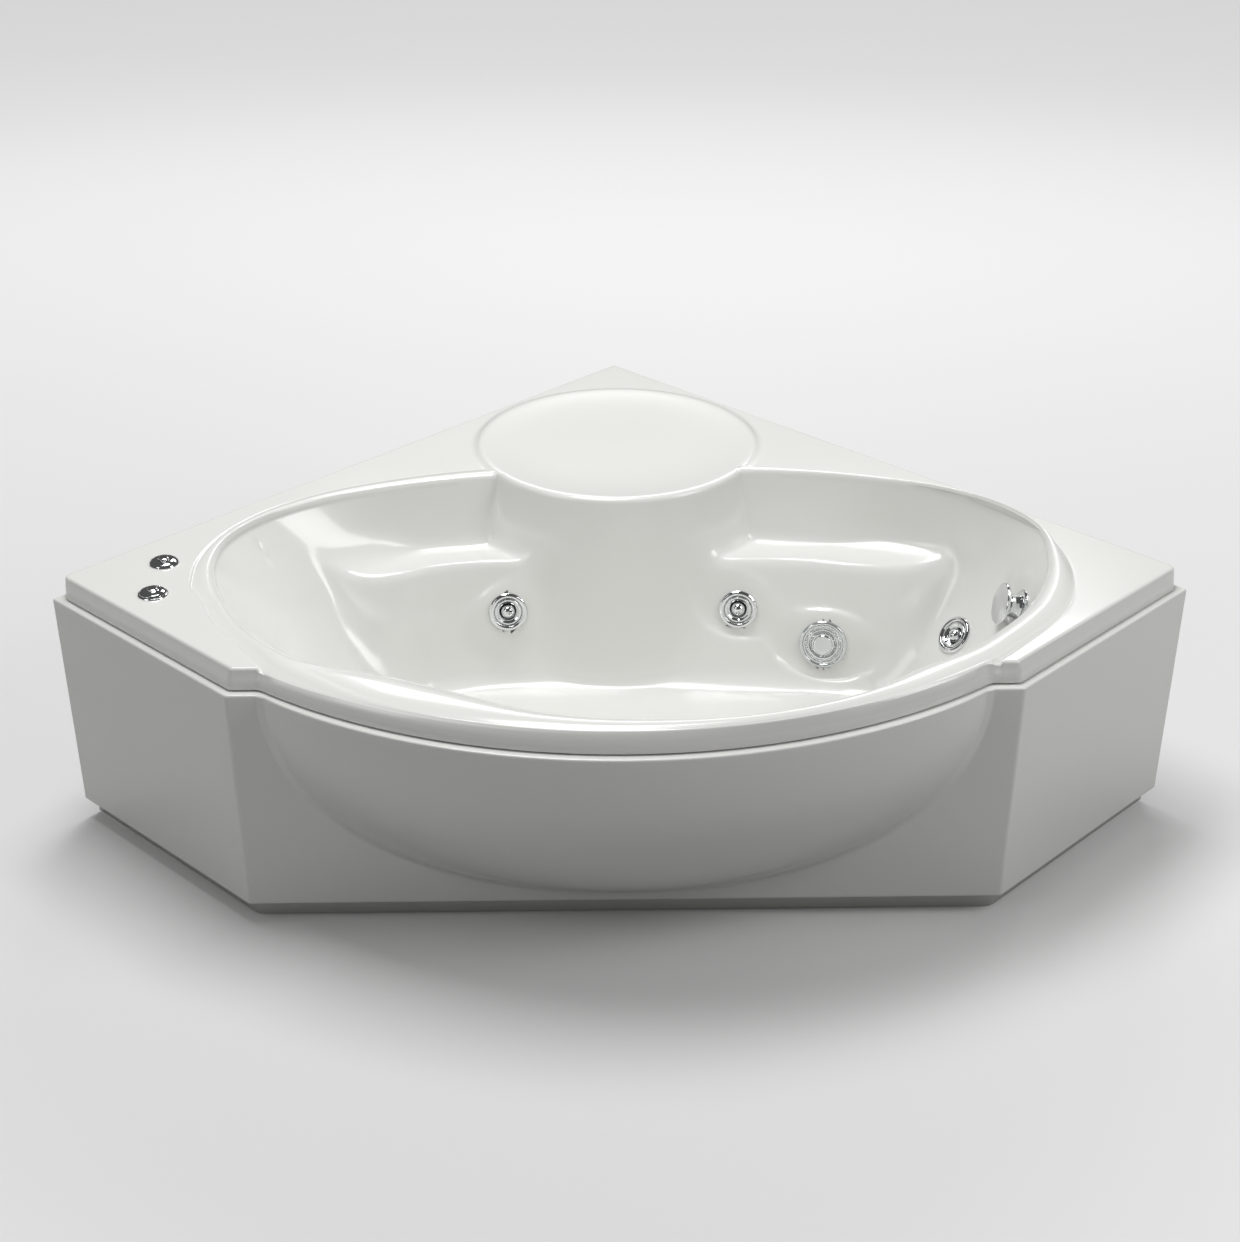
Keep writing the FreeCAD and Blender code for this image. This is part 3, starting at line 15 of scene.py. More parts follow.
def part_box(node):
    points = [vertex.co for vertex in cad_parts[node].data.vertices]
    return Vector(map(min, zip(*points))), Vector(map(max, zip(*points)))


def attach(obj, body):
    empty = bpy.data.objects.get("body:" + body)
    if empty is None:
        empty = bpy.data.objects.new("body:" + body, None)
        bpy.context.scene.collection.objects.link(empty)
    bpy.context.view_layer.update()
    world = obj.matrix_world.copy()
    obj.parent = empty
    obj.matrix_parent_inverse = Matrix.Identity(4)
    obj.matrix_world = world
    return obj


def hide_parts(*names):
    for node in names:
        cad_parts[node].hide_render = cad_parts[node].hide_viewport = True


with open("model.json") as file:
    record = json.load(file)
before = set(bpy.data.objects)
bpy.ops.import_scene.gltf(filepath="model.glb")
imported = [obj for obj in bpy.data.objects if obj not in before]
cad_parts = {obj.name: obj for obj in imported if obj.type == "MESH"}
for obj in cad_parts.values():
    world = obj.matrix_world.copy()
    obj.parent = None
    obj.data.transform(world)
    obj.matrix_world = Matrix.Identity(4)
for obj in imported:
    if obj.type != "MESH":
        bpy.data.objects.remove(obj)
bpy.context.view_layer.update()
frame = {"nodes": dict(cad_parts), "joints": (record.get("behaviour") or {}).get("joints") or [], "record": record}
NODES = frame["nodes"]
JOINTS = {joint["name"]: joint for joint in frame["joints"]}

# Photograph: its size in pixels and the camera that took it
photo_width = 1240.0
photo_height = 1242.0
photo_focal = 2227.6
photo_middle_x = 626.5
photo_middle_y = 682.5
camera_x = -0.0674
camera_depth = 4.8441
camera_height = 2.4433
camera_pitch = 0.517032
camera_yaw = -0.020053
camera_roll = 0.000659
sensor_mm = 36.0

# Studio: world, floor, and lamps with their place, target, width, height and power
world_colour = 0.9
world_light = 0.26
world_mirror = 0.10
floor_half = 30.0
floor_gap = 0.0005
floor_roughness = 0.9
floor_pale = 0.80
floor_stray = 0.35
floor_glow = 0.45
glow_start = 1.0
glow_end = 5.0
lamps = (
    ("top", (-0.5, 0.3, 4.4), (0.0, 0.0, 0.4), 2.4, 1.6, 115.0),
    ("left", (-3.0, -2.2, 2.8), (0.0, 0.0, 0.4), 1.4, 1.6, 14.0),
    ("back", (0.4, 3.4, 3.0), (0.0, 0.0, 0.4), 3.0, 0.9, 40.0),
    ("right", (3.2, -1.6, 2.8), (0.0, 0.0, 0.3), 1.4, 1.8, 42.0))

# Materials
coat_roughness = 0.05
roughness_spread = 0.04
bump_distance = 0.001

# Tub, read from the part
shell_thickness = 0.008
corner_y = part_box("tub_shell")[1].y
deck_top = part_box("button_bezel")[0].z
skirt_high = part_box("skirt_panel")[1]
floor_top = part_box("floor_board")[1].z + shell_thickness

# Deck outline
wall_side = 1.500
side_panel = 0.520
half_diagonal = wall_side / math.sqrt(2.0)
front_corner_x = half_diagonal - side_panel / math.sqrt(2.0)
front_corner_depth = half_diagonal + side_panel / math.sqrt(2.0)
corner_mitre = math.tan(math.pi / 8.0)
bow_radius = 1.012
bow_depth = 0.645
notch_radius = 0.034
wall_end_radius = 0.016
back_corner_radius = 0.010
lip_height = 0.038
lip_flare = 0.011
lip_wall = 0.006
lip_round = 0.001
wall_fade = 0.02
deck_edge_radius = 0.007
deck_thickness = 0.022
middle_share = 0.8

# Points along half the outline: bow, hollow, notch, side panel, wall end, wall and back corner
bow_points = 110
hollow_points = 16
notch_points = 10
panel_points = 90
wall_end_points = 12
wall_points = 280
corner_points = 9

# Seat: distance from its middle and height against the deck, for its dish and its two edges
seat_depth = 0.457
seat_radius = 0.300
seat_dish = (
    (0.0, -0.0010), (0.060, -0.0010), (0.120, -0.0008), (0.170, -0.0002), (0.210, 0.0010),
    (0.240, 0.0027), (0.262, 0.0045), (0.276, 0.0058), (0.285, 0.0064))
seat_front_edge = (
    (0.290, 0.0058), (0.294, 0.0040), (0.297, 0.0008), (0.299, -0.0040), (0.3005, -0.0105))
seat_deck_edge = ((0.290, 0.0062), (0.295, 0.0050), (0.300, 0.0028), (0.305, 0.0010), (0.311, 0.0))
seat_join = 0.286
seat_join_fade = 0.010
seat_margin = 0.01
patch_edge = 0.380
patch_overlap = 0.010
patch_lift = 0.00015
patch_rise = 0.05
patch_fade = 0.02
patch_spans = ((0.0, 0.19, 14), (0.2, 0.255, 14), (0.258, 0.302, 36), (0.3035, patch_edge, 52))
patch_columns = 1080
patch_middle = 0.001
touching = 1e-9

# Pedestal under the seat: a slope below the seat's edge and a steeper one below the ledges
pedestal_drop = 0.012
pedestal_slope = 5.44
pedestal_low_radius = 0.325
pedestal_low_slope = 7.2
pedestal_sink = 1.0
pedestal_turn = 0.02
pedestal_round = 0.03

# Basin: arcs of its oval, heights of the bends in its wall, and widths of its roundings
basin_x = 0.032
basin_depth = 1.110
arc_bearings = (0.0, math.radians(20.0), math.radians(70.0), math.radians(170.0), math.pi)
arc_steps = 40
front_arc_share = 1.005
ledge_height = 0.400
wall_foot_height = 0.176
post_blend = 0.150
post_blend_least = 0.001
post_fade = 0.130
end_blend = 0.040
end_left = -0.400
end_right = 0.450
end_reach = 0.100
end_margin = 0.015
bend_width = 0.030
bend_turn = 0.6
gentle_blend = 0.010
floor_blend = 0.004
ledge_blend = 0.05
room_blend = 0.045
low_blend = 0.11
low_margin = 0.01
low_fade = 0.12
rim_level = deck_top - 0.008
on_deck_step = 0.004
normal_step = 0.0008

# Flat spots and holes at the fittings, against the radius of each one's flange
hole_share = 0.70
hole_depth = 0.05
flat_spread = 1.8
flat_spread_high = 0.8
high_margin = 0.05

# Small dimple in the left end of the basin's back wall
dimple_x = -0.709
dimple_depth = 0.858
dimple_way = (0.826, 0.564)
dimple_length = 0.027
dimple_width = 0.012
dimple_drop = 0.006

# Rings of the tub's mesh, from the basin's middle out to the deck's edge
middle_radius = 0.004
ring_counts = (100, 10, 44, 26, 14, 14, 5, 26)
rolled_span = 4
outer_gap = 0.0005
deck_ring = 0.007
edge_steps = 9
edge_gap = 0.00005

# Height of the rim's crest and of its outer foot against the deck, by bearing in degrees
rim_bearings = (
    0.0, 45.0, 62.0, 80.0, 100.0, 120.0, 150.0, 180.0, -150.0, -120.0, -100.0, -80.0, -62.0, -45.0)
rim_crests = (
    0.005, 0.005, 0.006, 0.009, 0.0135, 0.014, 0.010, 0.006, 0.004, 0.002, -0.001, -0.003, 0.000, 0.004)
rim_feet = (
    -0.010, -0.010, -0.008, -0.003, -0.001, -0.001, -0.001, -0.001, -0.001, -0.001, -0.003, -0.007,
    -0.010, -0.010)
front_bearing = math.radians(68.0)
front_fade = math.radians(18.0)
bow_edge_x = 0.660
bow_edge_fade = 0.050
crest_share = 0.42
rim_round = 0.016
rim_step = 0.005

# Armrest ledges: depth of their crest and of their foot along x
ledge_x = (
    -0.75, -0.66, -0.60, -0.54, -0.49, -0.446, -0.383, -0.292, -0.204, -0.101, 0.0, 0.122, 0.237,
    0.325, 0.397, 0.487, 0.54, 0.60, 0.66, 0.75)
ledge_crest = (
    0.780, 0.790, 0.800, 0.810, 0.809, 0.798, 0.769, 0.749, 0.745, 0.733, 0.715, 0.733, 0.746,
    0.747, 0.755, 0.777, 0.784, 0.783, 0.775, 0.760)
ledge_foot = (
    0.855, 0.865, 0.875, 0.885, 0.884, 0.872, 0.836, 0.808, 0.800, 0.798, 0.797, 0.808, 0.820,
    0.826, 0.832, 0.848, 0.857, 0.860, 0.860, 0.860)

# Fittings: their size, the roundings of their profiles, the jets' balls and the suction's grille
flange_slack = 0.0005
fitting_reach = 0.06
waste_radius = 0.036
turned_sides = 96
axis_radius = 0.00002
cut_share = 0.35
cut_points = 5
flat_share = 0.25
wall_cut = 0.0006
overflow_cut = 0.0008
knob_cut = 0.0012
deck_cut = 0.0005
band_cut = 0.0004
jet_aims = ((0.35, 0.0), (0.05, -0.55), (0.05, -0.22))
ball_radius = 0.0144
ball_depth = 0.0030
ball_points = 40
nozzle_radius = 0.0050
nozzle_edge = 0.0006
nozzle_edge_drop = 0.0004
nozzle_taper = 0.0010
nozzle_floor = -0.0040
grille_bands = ((0.0034, 0.0230), (0.0290, 0.0320), (0.0380, 0.0410))
grille_low = 0.0012
grille_high = 0.0040
rib_count = 60
rib_half = 0.0006
rib_overlap = 0.0004
rib_rise = 0.0003
rib_sink = 0.0005
spoke_count = 3
spoke_half = 0.0028
first_spoke = 4

# Skirt
skirt_offset = 0.025
skirt_taper = 0.010
skirt_foot = 0.042
skirt_foot_round = 0.003
plinth_offset = -0.012
plinth_low = 0.003
plinth_radius = 0.030
plinth_round = 0.001
bulge_foot = 0.066
skirt_wall = 0.005
skirt_flange = 0.042
flange_drop = 0.0005
flange_corner = 0.004
skirt_corner = 0.012
inner_corner = 0.008
skirt_edge_radius = 0.004
bevel_width = 0.012
bevel_slope = 0.55
bevel_fade = 0.025
side_points = 40
turn_points = 7
front_points = 330
edge_rows = 5
outer_rows = 110
inner_rows = 40


def smooth_max(a, b, width):
    """The larger of two, rounded by a quarter of the width where they meet."""
    reach = 1.5 * width
    return np.maximum(a, b) + reach / 6.0 * np.maximum(1.0 - np.abs(a - b) / reach, 0.0) ** 3


def smooth_min(a, b, width):
    """The smaller of two, rounded in the same way."""
    return -smooth_max(-a, -b, width)


def smooth_step(t):
    """Rises from 0 to 1 as t does, level at both ends."""
    t = np.clip(t, 0.0, 1.0)
    return t * t * (3.0 - 2.0 * t)


def bearing_of(x, depth):
    """Angle about the basin's middle, from the front, counted to the right."""
    return np.arctan2(x - basin_x, depth - basin_depth)


def hermite(a, v, query):
    """Smooth curve through values v at rising places a."""
    slope = np.gradient(v, a)
    k = np.clip(np.searchsorted(a, query) - 1, 0, len(a) - 2)
    h = a[k + 1] - a[k]
    t = (query - a[k]) / h
    return ((2 * t**3 - 3 * t**2 + 1) * v[k] + (t**3 - 2 * t**2 + t) * h * slope[k]
            + (3 * t**2 - 2 * t**3) * v[k + 1] + (t**3 - t**2) * h * slope[k + 1])


def periodic(points, values, query):
    """Smooth periodic curve through values at the angles of the points."""
    order = np.argsort(points)
    a, v = np.asarray(points)[order], np.asarray(values)[order]
    a = np.concatenate([a[-3:] - 2.0 * np.pi, a, a[:3] + 2.0 * np.pi])
    v = np.concatenate([v[-3:], v, v[:3]])
    return hermite(a, v, query)


def smooth_curve(points, values, query):
    """Smooth curve through values at rising places, level with its ends beyond them."""
    a, v = np.asarray(points), np.asarray(values)
    return hermite(a, v, np.clip(query, a[0], a[-1]))


def curve_through(points):
    """Distance from the basin's middle as a function of the bearing, through plan points."""
    x, depth = np.array(points).T
    angles = bearing_of(x, depth)
    radii = np.hypot(x - basin_x, depth - basin_depth)
    return lambda bearing: periodic(angles, radii, bearing)


rim_inside = curve_through((
    (0.020, 1.632), (0.257, 1.606), (0.473, 1.508), (0.635, 1.356), (0.763, 1.191), (0.818, 1.030),
    (0.820, 0.906), (0.763, 0.804), (0.673, 0.730), (0.537, 0.674), (0.376, 0.631), (0.032, 0.612),
    (-0.312, 0.631), (-0.473, 0.672), (-0.612, 0.732), (-0.714, 0.812), (-0.770, 0.905), (-0.780, 1.000),
    (-0.747, 1.135), (-0.678, 1.274), (-0.537, 1.415), (-0.320, 1.546), (-0.150, 1.612)))
rim_outside = curve_through((
    (0.0, 1.659), (0.300, 1.614), (0.560, 1.491), (0.655, 1.425), (0.726, 1.350), (0.773, 1.294),
    (0.814, 1.236), (0.846, 1.150), (0.857, 1.052), (0.849, 0.970), (0.828, 0.898), (0.790, 0.830),
    (0.710, 0.745), (0.590, 0.677), (0.440, 0.625), (0.300, 0.590), (0.0, 0.566), (-0.300, 0.590),
    (-0.470, 0.637), (-0.620, 0.708), (-0.730, 0.805), (-0.786, 0.900), (-0.812, 1.000), (-0.813, 1.070),
    (-0.806, 1.118), (-0.791, 1.146), (-0.776, 1.170), (-0.764, 1.205), (-0.744, 1.254), (-0.698, 1.327),
    (-0.656, 1.394), (-0.636, 1.430), (-0.560, 1.491), (-0.300, 1.614)))


def oval_radii(half_length, width):
    """Radii of the four arcs of half the basin's oval, front to back."""
    sine = [math.sin(b) for b in arc_bearings]
    cosine = [math.cos(b) for b in arc_bearings]
    front = front_arc_share * width
    shoulder_slope = (cosine[1] - cosine[2]) / (sine[2] - sine[1])
    back_slope = (1.0 + cosine[3]) / sine[3]
    left_over = half_length - front * sine[1]
    known = left_over * shoulder_slope + half_length * back_slope + front * (1.0 - cosine[1])
    spread = cosine[2] - cosine[3] - (1.0 - sine[2]) * shoulder_slope - (1.0 - sine[3]) * back_slope
    side = (width - known) / spread
    shoulder = (left_over - side * (1.0 - sine[2])) / (sine[2] - sine[1])
    back = (half_length - side * (1.0 - sine[3])) / sine[3]
    return front, shoulder, side, back


def oval_curve(half_left, half_right, back_depth, front_depth):
    """The part's own basin oval, as distance from the basin's middle by bearing."""
    places = []
    for half_length, side in ((half_right, 1.0), (half_left, -1.0)):
        x, depth = basin_x, front_depth
        radii = oval_radii(half_length, front_depth - back_depth)
        for radius, low, high in zip(radii, arc_bearings, arc_bearings[1:]):
            steps = np.linspace(low, high, arc_steps)
            xs = x + side * radius * (np.sin(steps) - math.sin(low))
            depths = depth - radius * (math.cos(low) - np.cos(steps))
            places += list(zip(xs[:-1], depths[:-1]))
            x, depth = xs[-1], depths[-1]
    x, depth = np.array(places).T
    angles = bearing_of(x, depth)
    order = np.argsort(angles)
    angles, radii = angles[order], np.hypot(x - basin_x, depth - basin_depth)[order]
    angles = np.concatenate([[angles[-1] - 2 * np.pi], angles, [angles[0] + 2 * np.pi]])
    radii = np.concatenate([[radii[-1]], radii, [radii[0]]])
    return lambda bearing: np.interp(bearing, angles, radii)


at_ledges = oval_curve(0.705, 0.748, 0.640, 1.585)
at_foot = oval_curve(0.544, 0.580, 0.694, 1.509)
at_floor = oval_curve(0.514, 0.550, 0.724, 1.479)


def front_share(bearing):
    """One along the bowed front, where the rim rolls over into the lip, and nothing elsewhere."""
    return smooth_step((front_bearing - np.abs(bearing)) / front_fade)


def rim_start(bearing):
    """Inner foot of the rim: the measured line, which along the front is the crest."""
    line = rim_inside(bearing)
    hidden = (rim_outside(bearing) - line) * crest_share / (1.0 - crest_share)
    return line - hidden * front_share(bearing)


def rim_levels(bearing):
    """Height of the rim's crest and of its outer foot."""
    crest = periodic(np.radians(rim_bearings), rim_crests, bearing)
    foot = periodic(np.radians(rim_bearings), rim_feet, bearing)
    return deck_top + crest, deck_top + foot


def bowl_height(bearing, radius):
    """Deck, rim roll and basin as a height, without the ledges and the seat."""
    inside = rim_start(bearing)
    outside = rim_outside(bearing)
    crest, foot = rim_levels(bearing)
    front = front_share(bearing)
    share = (radius - inside) / (outside - inside)
    out = np.clip((share - crest_share) / (1.0 - crest_share), 0.0, 1.0)
    inward = np.clip((crest_share - share) / crest_share, 0.0, 1.0)
    fall = np.cos(out * np.pi / 2.0) * (1.0 - front) + np.sqrt(1.0 - out**2) * front
    rim = np.where(share > crest_share, foot + (crest - foot) * fall,
                   crest - rim_round * (1.0 - np.sqrt(1.0 - inward**2)))
    step = smooth_step((radius - outside) / rim_step)
    top = np.where(share > 1.0, foot + (deck_top - foot) * step, rim)
    edge = crest - rim_round
    ledge, wall_foot, floor = at_ledges(bearing), at_foot(bearing), at_floor(bearing)
    upper = ledge_height + (edge - ledge_height) * (radius - ledge) / (inside - ledge)
    steep = (ledge_height - wall_foot_height) / (ledge - wall_foot)
    lower = wall_foot_height + (ledge_height - wall_foot_height) * (
        radius - wall_foot) / (ledge - wall_foot)
    gentle = floor_top + (wall_foot_height - floor_top) * (radius - floor) / (wall_foot - floor)
    turn = (edge - ledge_height) / (inside - ledge) - steep
    rounding = np.maximum(bend_width - np.abs(upper - lower), 0.0) ** 2 / (4.0 * bend_width)
    bend = np.where(radius > ledge, upper, lower) + rounding * np.clip(turn / bend_turn, -1.0, 1.0)
    wall = smooth_max(smooth_max(bend, gentle, gentle_blend), floor_top, floor_blend)
    return np.where(share > 0.0, top, np.minimum(wall, edge))


def seat_height(rho, edge):
    """Height of the round seat by the distance from its middle, with one of its edges."""
    dish, heights = np.array(seat_dish + edge).T
    return deck_top + smooth_curve(dish, heights, rho)


def pedestal_height(rho):
    """Height of the pedestal's side by the distance from the seat's middle."""
    upper = deck_top - pedestal_drop - (rho - seat_radius) * pedestal_slope
    lower = ledge_height - (rho - pedestal_low_radius) * pedestal_low_slope
    return smooth_min(upper, smooth_max(lower, upper - pedestal_sink, pedestal_turn), pedestal_round)


def surface(x, depth):
    """Height of the tub's upper surface."""
    bearing = bearing_of(x, depth)
    radius = np.hypot(x - basin_x, depth - basin_depth)
    bowl = bowl_height(bearing, radius)
    crest = smooth_curve(ledge_x, ledge_crest, x)
    foot = smooth_curve(ledge_x, ledge_foot, x)
    ramp = ledge_height - (ledge_height - floor_top) * (depth - crest) / (foot - crest)
    ledge = smooth_min(ledge_height, ramp, ledge_blend)
    higher = np.maximum(bowl, ledge)
    ends = smooth_step((end_left - x) / end_reach) + smooth_step((x - end_right) / end_reach)
    width = (room_blend + low_blend * smooth_step((ledge_height - low_margin - higher) / low_fade)
             + end_blend * ends * smooth_step((rim_level - end_margin - higher) / post_fade))
    inside = radius < rim_start(bearing)
    room = np.where(inside, smooth_max(bowl, ledge, width), bowl)
    rho = np.hypot(x, depth - seat_depth)
    post = np.minimum(pedestal_height(rho), rim_level)
    share = smooth_step((rim_level - np.maximum(room, post)) / post_fade)
    width = post_blend * share + post_blend_least
    room = smooth_max(room, post, width)
    on_deck = smooth_step((bowl - deck_top + on_deck_step) / on_deck_step)
    by_basin = seat_height(rho, seat_front_edge)
    by_deck = seat_height(rho, seat_deck_edge)
    seat = by_basin + (by_deck - by_basin) * on_deck
    reach = smooth_step((rho - seat_join) / seat_join_fade)
    within = seat + np.maximum(room - seat, 0.0) * reach
    beyond = room + np.maximum(by_deck - room, 0.0) * on_deck
    height = np.where(rho < seat_radius, within, beyond)
    along = (x - dimple_x) * dimple_way[0] + (depth - dimple_depth) * dimple_way[1]
    across = (depth - dimple_depth) * dimple_way[0] - (x - dimple_x) * dimple_way[1]
    share = np.maximum(1.0 - (along / dimple_length) ** 2 - (across / dimple_width) ** 2, 0.0)
    return flattened(x, depth, height - dimple_drop * share**1.5)


def flattened(x, depth, height):
    """The surface with a flat round spot under each fitting."""
    y = corner_y - depth
    for point, direction, radius in SPOTS:
        plane = point.z - (direction.x * (x - point.x) + direction.y * (y - point.y)) / direction.z
        away = np.sqrt((x - point.x) ** 2 + (y - point.y) ** 2 + (plane - point.z) ** 2)
        high = point.z >= ledge_height + high_margin
        spread = radius * (flat_spread_high if high else flat_spread)
        share = 1.0 - smooth_step((away - radius) / spread)
        height = height + (plane - height) * share
    return height


def outline_points(offset):
    """Deck outline as a chain of plan points, moved outward, but never through the walls."""
    hollow_depth = front_corner_depth + notch_radius
    reach = bow_radius + notch_radius
    hollow_x = math.sqrt(reach**2 - (hollow_depth - bow_depth) ** 2)
    share = bow_radius / reach
    bow_end_x = hollow_x * share
    bow_end_depth = bow_depth + (hollow_depth - bow_depth) * share
    end_angle = math.atan2(bow_end_x, bow_end_depth - bow_depth)
    hollow_end = math.atan2(bow_end_x - hollow_x, hollow_depth - bow_end_depth)
    right = [(bow_radius * math.sin(a), bow_depth + bow_radius * math.cos(a))
             for a in np.linspace(0.0, end_angle, bow_points)[:-1]]
    right += [(hollow_x + notch_radius * math.sin(a), hollow_depth - notch_radius * math.cos(a))
              for a in np.linspace(hollow_end, 0.0, hollow_points)]
    front_corner = (front_corner_x, front_corner_depth)
    right += spaced((hollow_x, front_corner_depth), front_corner, notch_points)[1:]
    # rounded end at the wall
    wall_end = np.array([half_diagonal, half_diagonal])
    to_corner = np.array(front_corner) - wall_end
    to_corner /= np.hypot(*to_corner)
    to_back = np.array([-1.0, -1.0]) / math.sqrt(2.0)
    start = wall_end + to_corner * wall_end_radius
    end = wall_end + to_back * wall_end_radius
    centre = start + to_back * wall_end_radius
    right += spaced(front_corner, start, panel_points)
    for a in np.linspace(0.0, math.pi / 2.0, wall_end_points):
        right.append(tuple(centre + (start - centre) * math.cos(a) + (end - centre) * math.sin(a)))
    tangent = back_corner_radius / math.sqrt(2.0)
    right += spaced(end, (tangent, tangent), wall_points)[1:]
    # rounded back corner
    for a in np.linspace(math.pi / 4.0, 0.0, corner_points):
        right.append((back_corner_radius * math.sin(a),
                      2.0 * tangent - back_corner_radius * math.cos(a)))
    right = np.array(right)
    left = right[1:-1][::-1] * np.array([-1.0, 1.0])
    chain = np.concatenate([right, left])
    ahead = np.roll(chain, -1, axis=0) - chain
    ahead /= np.linalg.norm(ahead, axis=1, keepdims=True)
    along = ahead + np.roll(ahead, 1, axis=0)
    along /= np.linalg.norm(along, axis=1, keepdims=True)
    outward = np.stack([along[:, 1], -along[:, 0]], -1)
    from_middle = chain - np.array([0.0, basin_depth * middle_share])
    outward *= np.sign((outward * from_middle).sum(1))[:, None]
    if offset > 0.0:
        outward = outward * smooth_step((chain[:, 1] - half_diagonal) / wall_fade)[:, None]
    return chain + outward * offset


def spaced(start, end, count):
    """Evenly spaced points from the start up to, not including, the end."""
    t = np.linspace(0.0, 1.0, count + 1)[:-1, None]
    return [tuple(p) for p in np.array(start) * (1.0 - t) + np.array(end) * t]


def in_plan(points):
    """Plan points with heights, as vertices in the part's frame."""
    x, depth, z = points
    return np.stack([x, corner_y - depth, z], -1)


def new_mesh(name, vertices, faces, material):
    """Smooth-shaded object from vertices and faces that all have the same number of corners."""
    mesh = bpy.data.meshes.new(name)
    faces = np.asarray(faces)
    mesh.vertices.add(len(vertices))
    mesh.vertices.foreach_set("co", np.ascontiguousarray(vertices, dtype=np.float32).ravel())
    mesh.loops.add(faces.size)
    mesh.loops.foreach_set("vertex_index", faces.ravel().astype(np.int32))
    mesh.polygons.add(len(faces))
    corners = faces.shape[1]
    mesh.polygons.foreach_set("loop_start", np.arange(0, faces.size, corners, dtype=np.int32))
    mesh.polygons.foreach_set("loop_total", np.full(len(faces), corners, dtype=np.int32))
    mesh.update(calc_edges=True)
    mesh.validate()
    mesh.polygons.foreach_set("use_smooth", np.full(len(mesh.polygons), True))
    mesh.materials.append(material)
    thing = bpy.data.objects.new(name, mesh)
    bpy.context.scene.collection.objects.link(thing)
    return thing


def grid_faces(rows, columns, wrap):
    """Quads of a grid whose vertices run row by row."""
    last = columns if wrap else columns - 1
    r, c = np.meshgrid(np.arange(rows - 1), np.arange(last), indexing="ij")
    d = (c + 1) % columns
    this, after = r * columns, (r + 1) * columns
    quads = np.stack([this + c, this + d, after + d, after + c], -1)
    return quads.reshape(-1, 4)


def surface_normals(x, depth):
    """Unit normals of the upper surface, in the part's frame."""
    h = normal_step
    dx = (surface(x + h, depth) - surface(x - h, depth)) / (2.0 * h)
    dd = (surface(x, depth + h) - surface(x, depth - h)) / (2.0 * h)
    normal = np.stack([-dx, dd, np.ones_like(x)], -1)
    return normal / np.linalg.norm(normal, axis=-1, keepdims=True)


def underside(x, depth, top):
    """The same places on the lower surface: thick under the deck, thin behind the basin."""
    bearing = bearing_of(x, depth)
    radius = np.hypot(x - basin_x, depth - basin_depth)
    rho = np.hypot(x, depth - seat_depth)
    on_deck = (radius > rim_outside(bearing)) | (rho < seat_radius - seat_margin)
    under = np.stack([x, corner_y - depth, top], -1) - surface_normals(x, depth) * shell_thickness
    flat = np.stack([x, corner_y - depth, np.full_like(top, deck_top - deck_thickness)], -1)
    return np.where(on_deck[..., None], flat, under)


def tub_body(material):
    """Deck, lip, rim and basin as rings about the basin's middle, open where the seat stands."""
    edge = outline_points(-deck_edge_radius)
    bearing = bearing_of(*edge.T)
    at_rim, at_outer = rim_start(bearing), rim_outside(bearing)
    reach = np.hypot(*(edge - np.array([basin_x, basin_depth])).T)
    at_outer = np.minimum(at_outer, reach - outer_gap)
    stops = [np.full_like(bearing, middle_radius), at_floor(bearing), at_foot(bearing),
             at_ledges(bearing), at_rim, at_rim + (at_outer - at_rim) * crest_share, at_outer,
             np.minimum(at_outer + deck_ring, reach), reach]
    rings = []
    for k, (low, high, count) in enumerate(zip(stops, stops[1:], ring_counts)):
        share = np.linspace(0.0, 1.0, count + 1)[:-1]
        if k == rolled_span:
            share = 1.0 - np.cos(share * np.pi / 2.0)
        rings += [low + (high - low) * s for s in share]
    rings.append(reach)
    radius = np.array(rings)
    x = basin_x + radius * np.sin(bearing)
    depth = basin_depth + radius * np.cos(bearing)
    top = surface(x, depth)
    upper = in_plan((x, depth, top))
    lip_top = top[-1]
    low = deck_top - lip_height
    side = []
    for a in np.linspace(0.0, math.pi / 2.0, edge_steps)[1:]:
        offset = deck_edge_radius * (math.sin(a) - 1.0)
        row = outline_points(offset - edge_gap)
        on_bow = smooth_step((bow_edge_x - np.abs(row[:, 0])) / bow_edge_fade)
        on_bow = on_bow * (row[:, 1] > basin_depth)
        level = lip_top + (surface(*row.T) - lip_top) * on_bow
        level = level - deck_edge_radius * (1.0 - math.cos(a)) * (1.0 - on_bow)
        side.append(in_plan((*outline_points(offset).T, level)))
    for offset, height in (
            (lip_flare * 0.5, deck_top - lip_height * 0.5), (lip_flare, low + lip_round),
            (lip_flare - lip_round, low), (lip_flare - lip_wall, low),
            (-lip_wall, deck_top - deck_thickness)):
        side.append(in_plan((*outline_points(offset).T, np.full_like(lip_top, height))))
    lower = underside(x, depth, top)[::-1]
    rows = np.concatenate([upper, np.array(side), lower])
    columns = len(bearing)
    faces = grid_faces(len(rows), columns, True)[:, ::-1]
    flat = rows.reshape(-1, 3)
    rho = np.hypot(flat[:, 0], corner_y - flat[:, 1] - seat_depth)
    face_row = np.arange(len(faces)) // columns
    on_lip = (face_row >= len(upper) - 1) & (face_row < len(upper) + len(side))
    keep = (rho[faces].max(1) > patch_edge - patch_overlap) | on_lip
    # holes under the fittings
    for point, direction, radius in SPOTS + [WASTE]:
        from_axis = flat - np.array(point)
        along = from_axis @ np.array(direction)
        away = np.linalg.norm(from_axis - along[:, None] * np.array(direction), axis=1)
        keep &= ~((away[faces].min(1) < radius * hole_share)
                  & (np.abs(along[faces]).max(1) < hole_depth))
    body = new_mesh("tub_body", flat, faces[keep], material)
    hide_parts("tub_shell")
    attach(body, "tub")
    return body


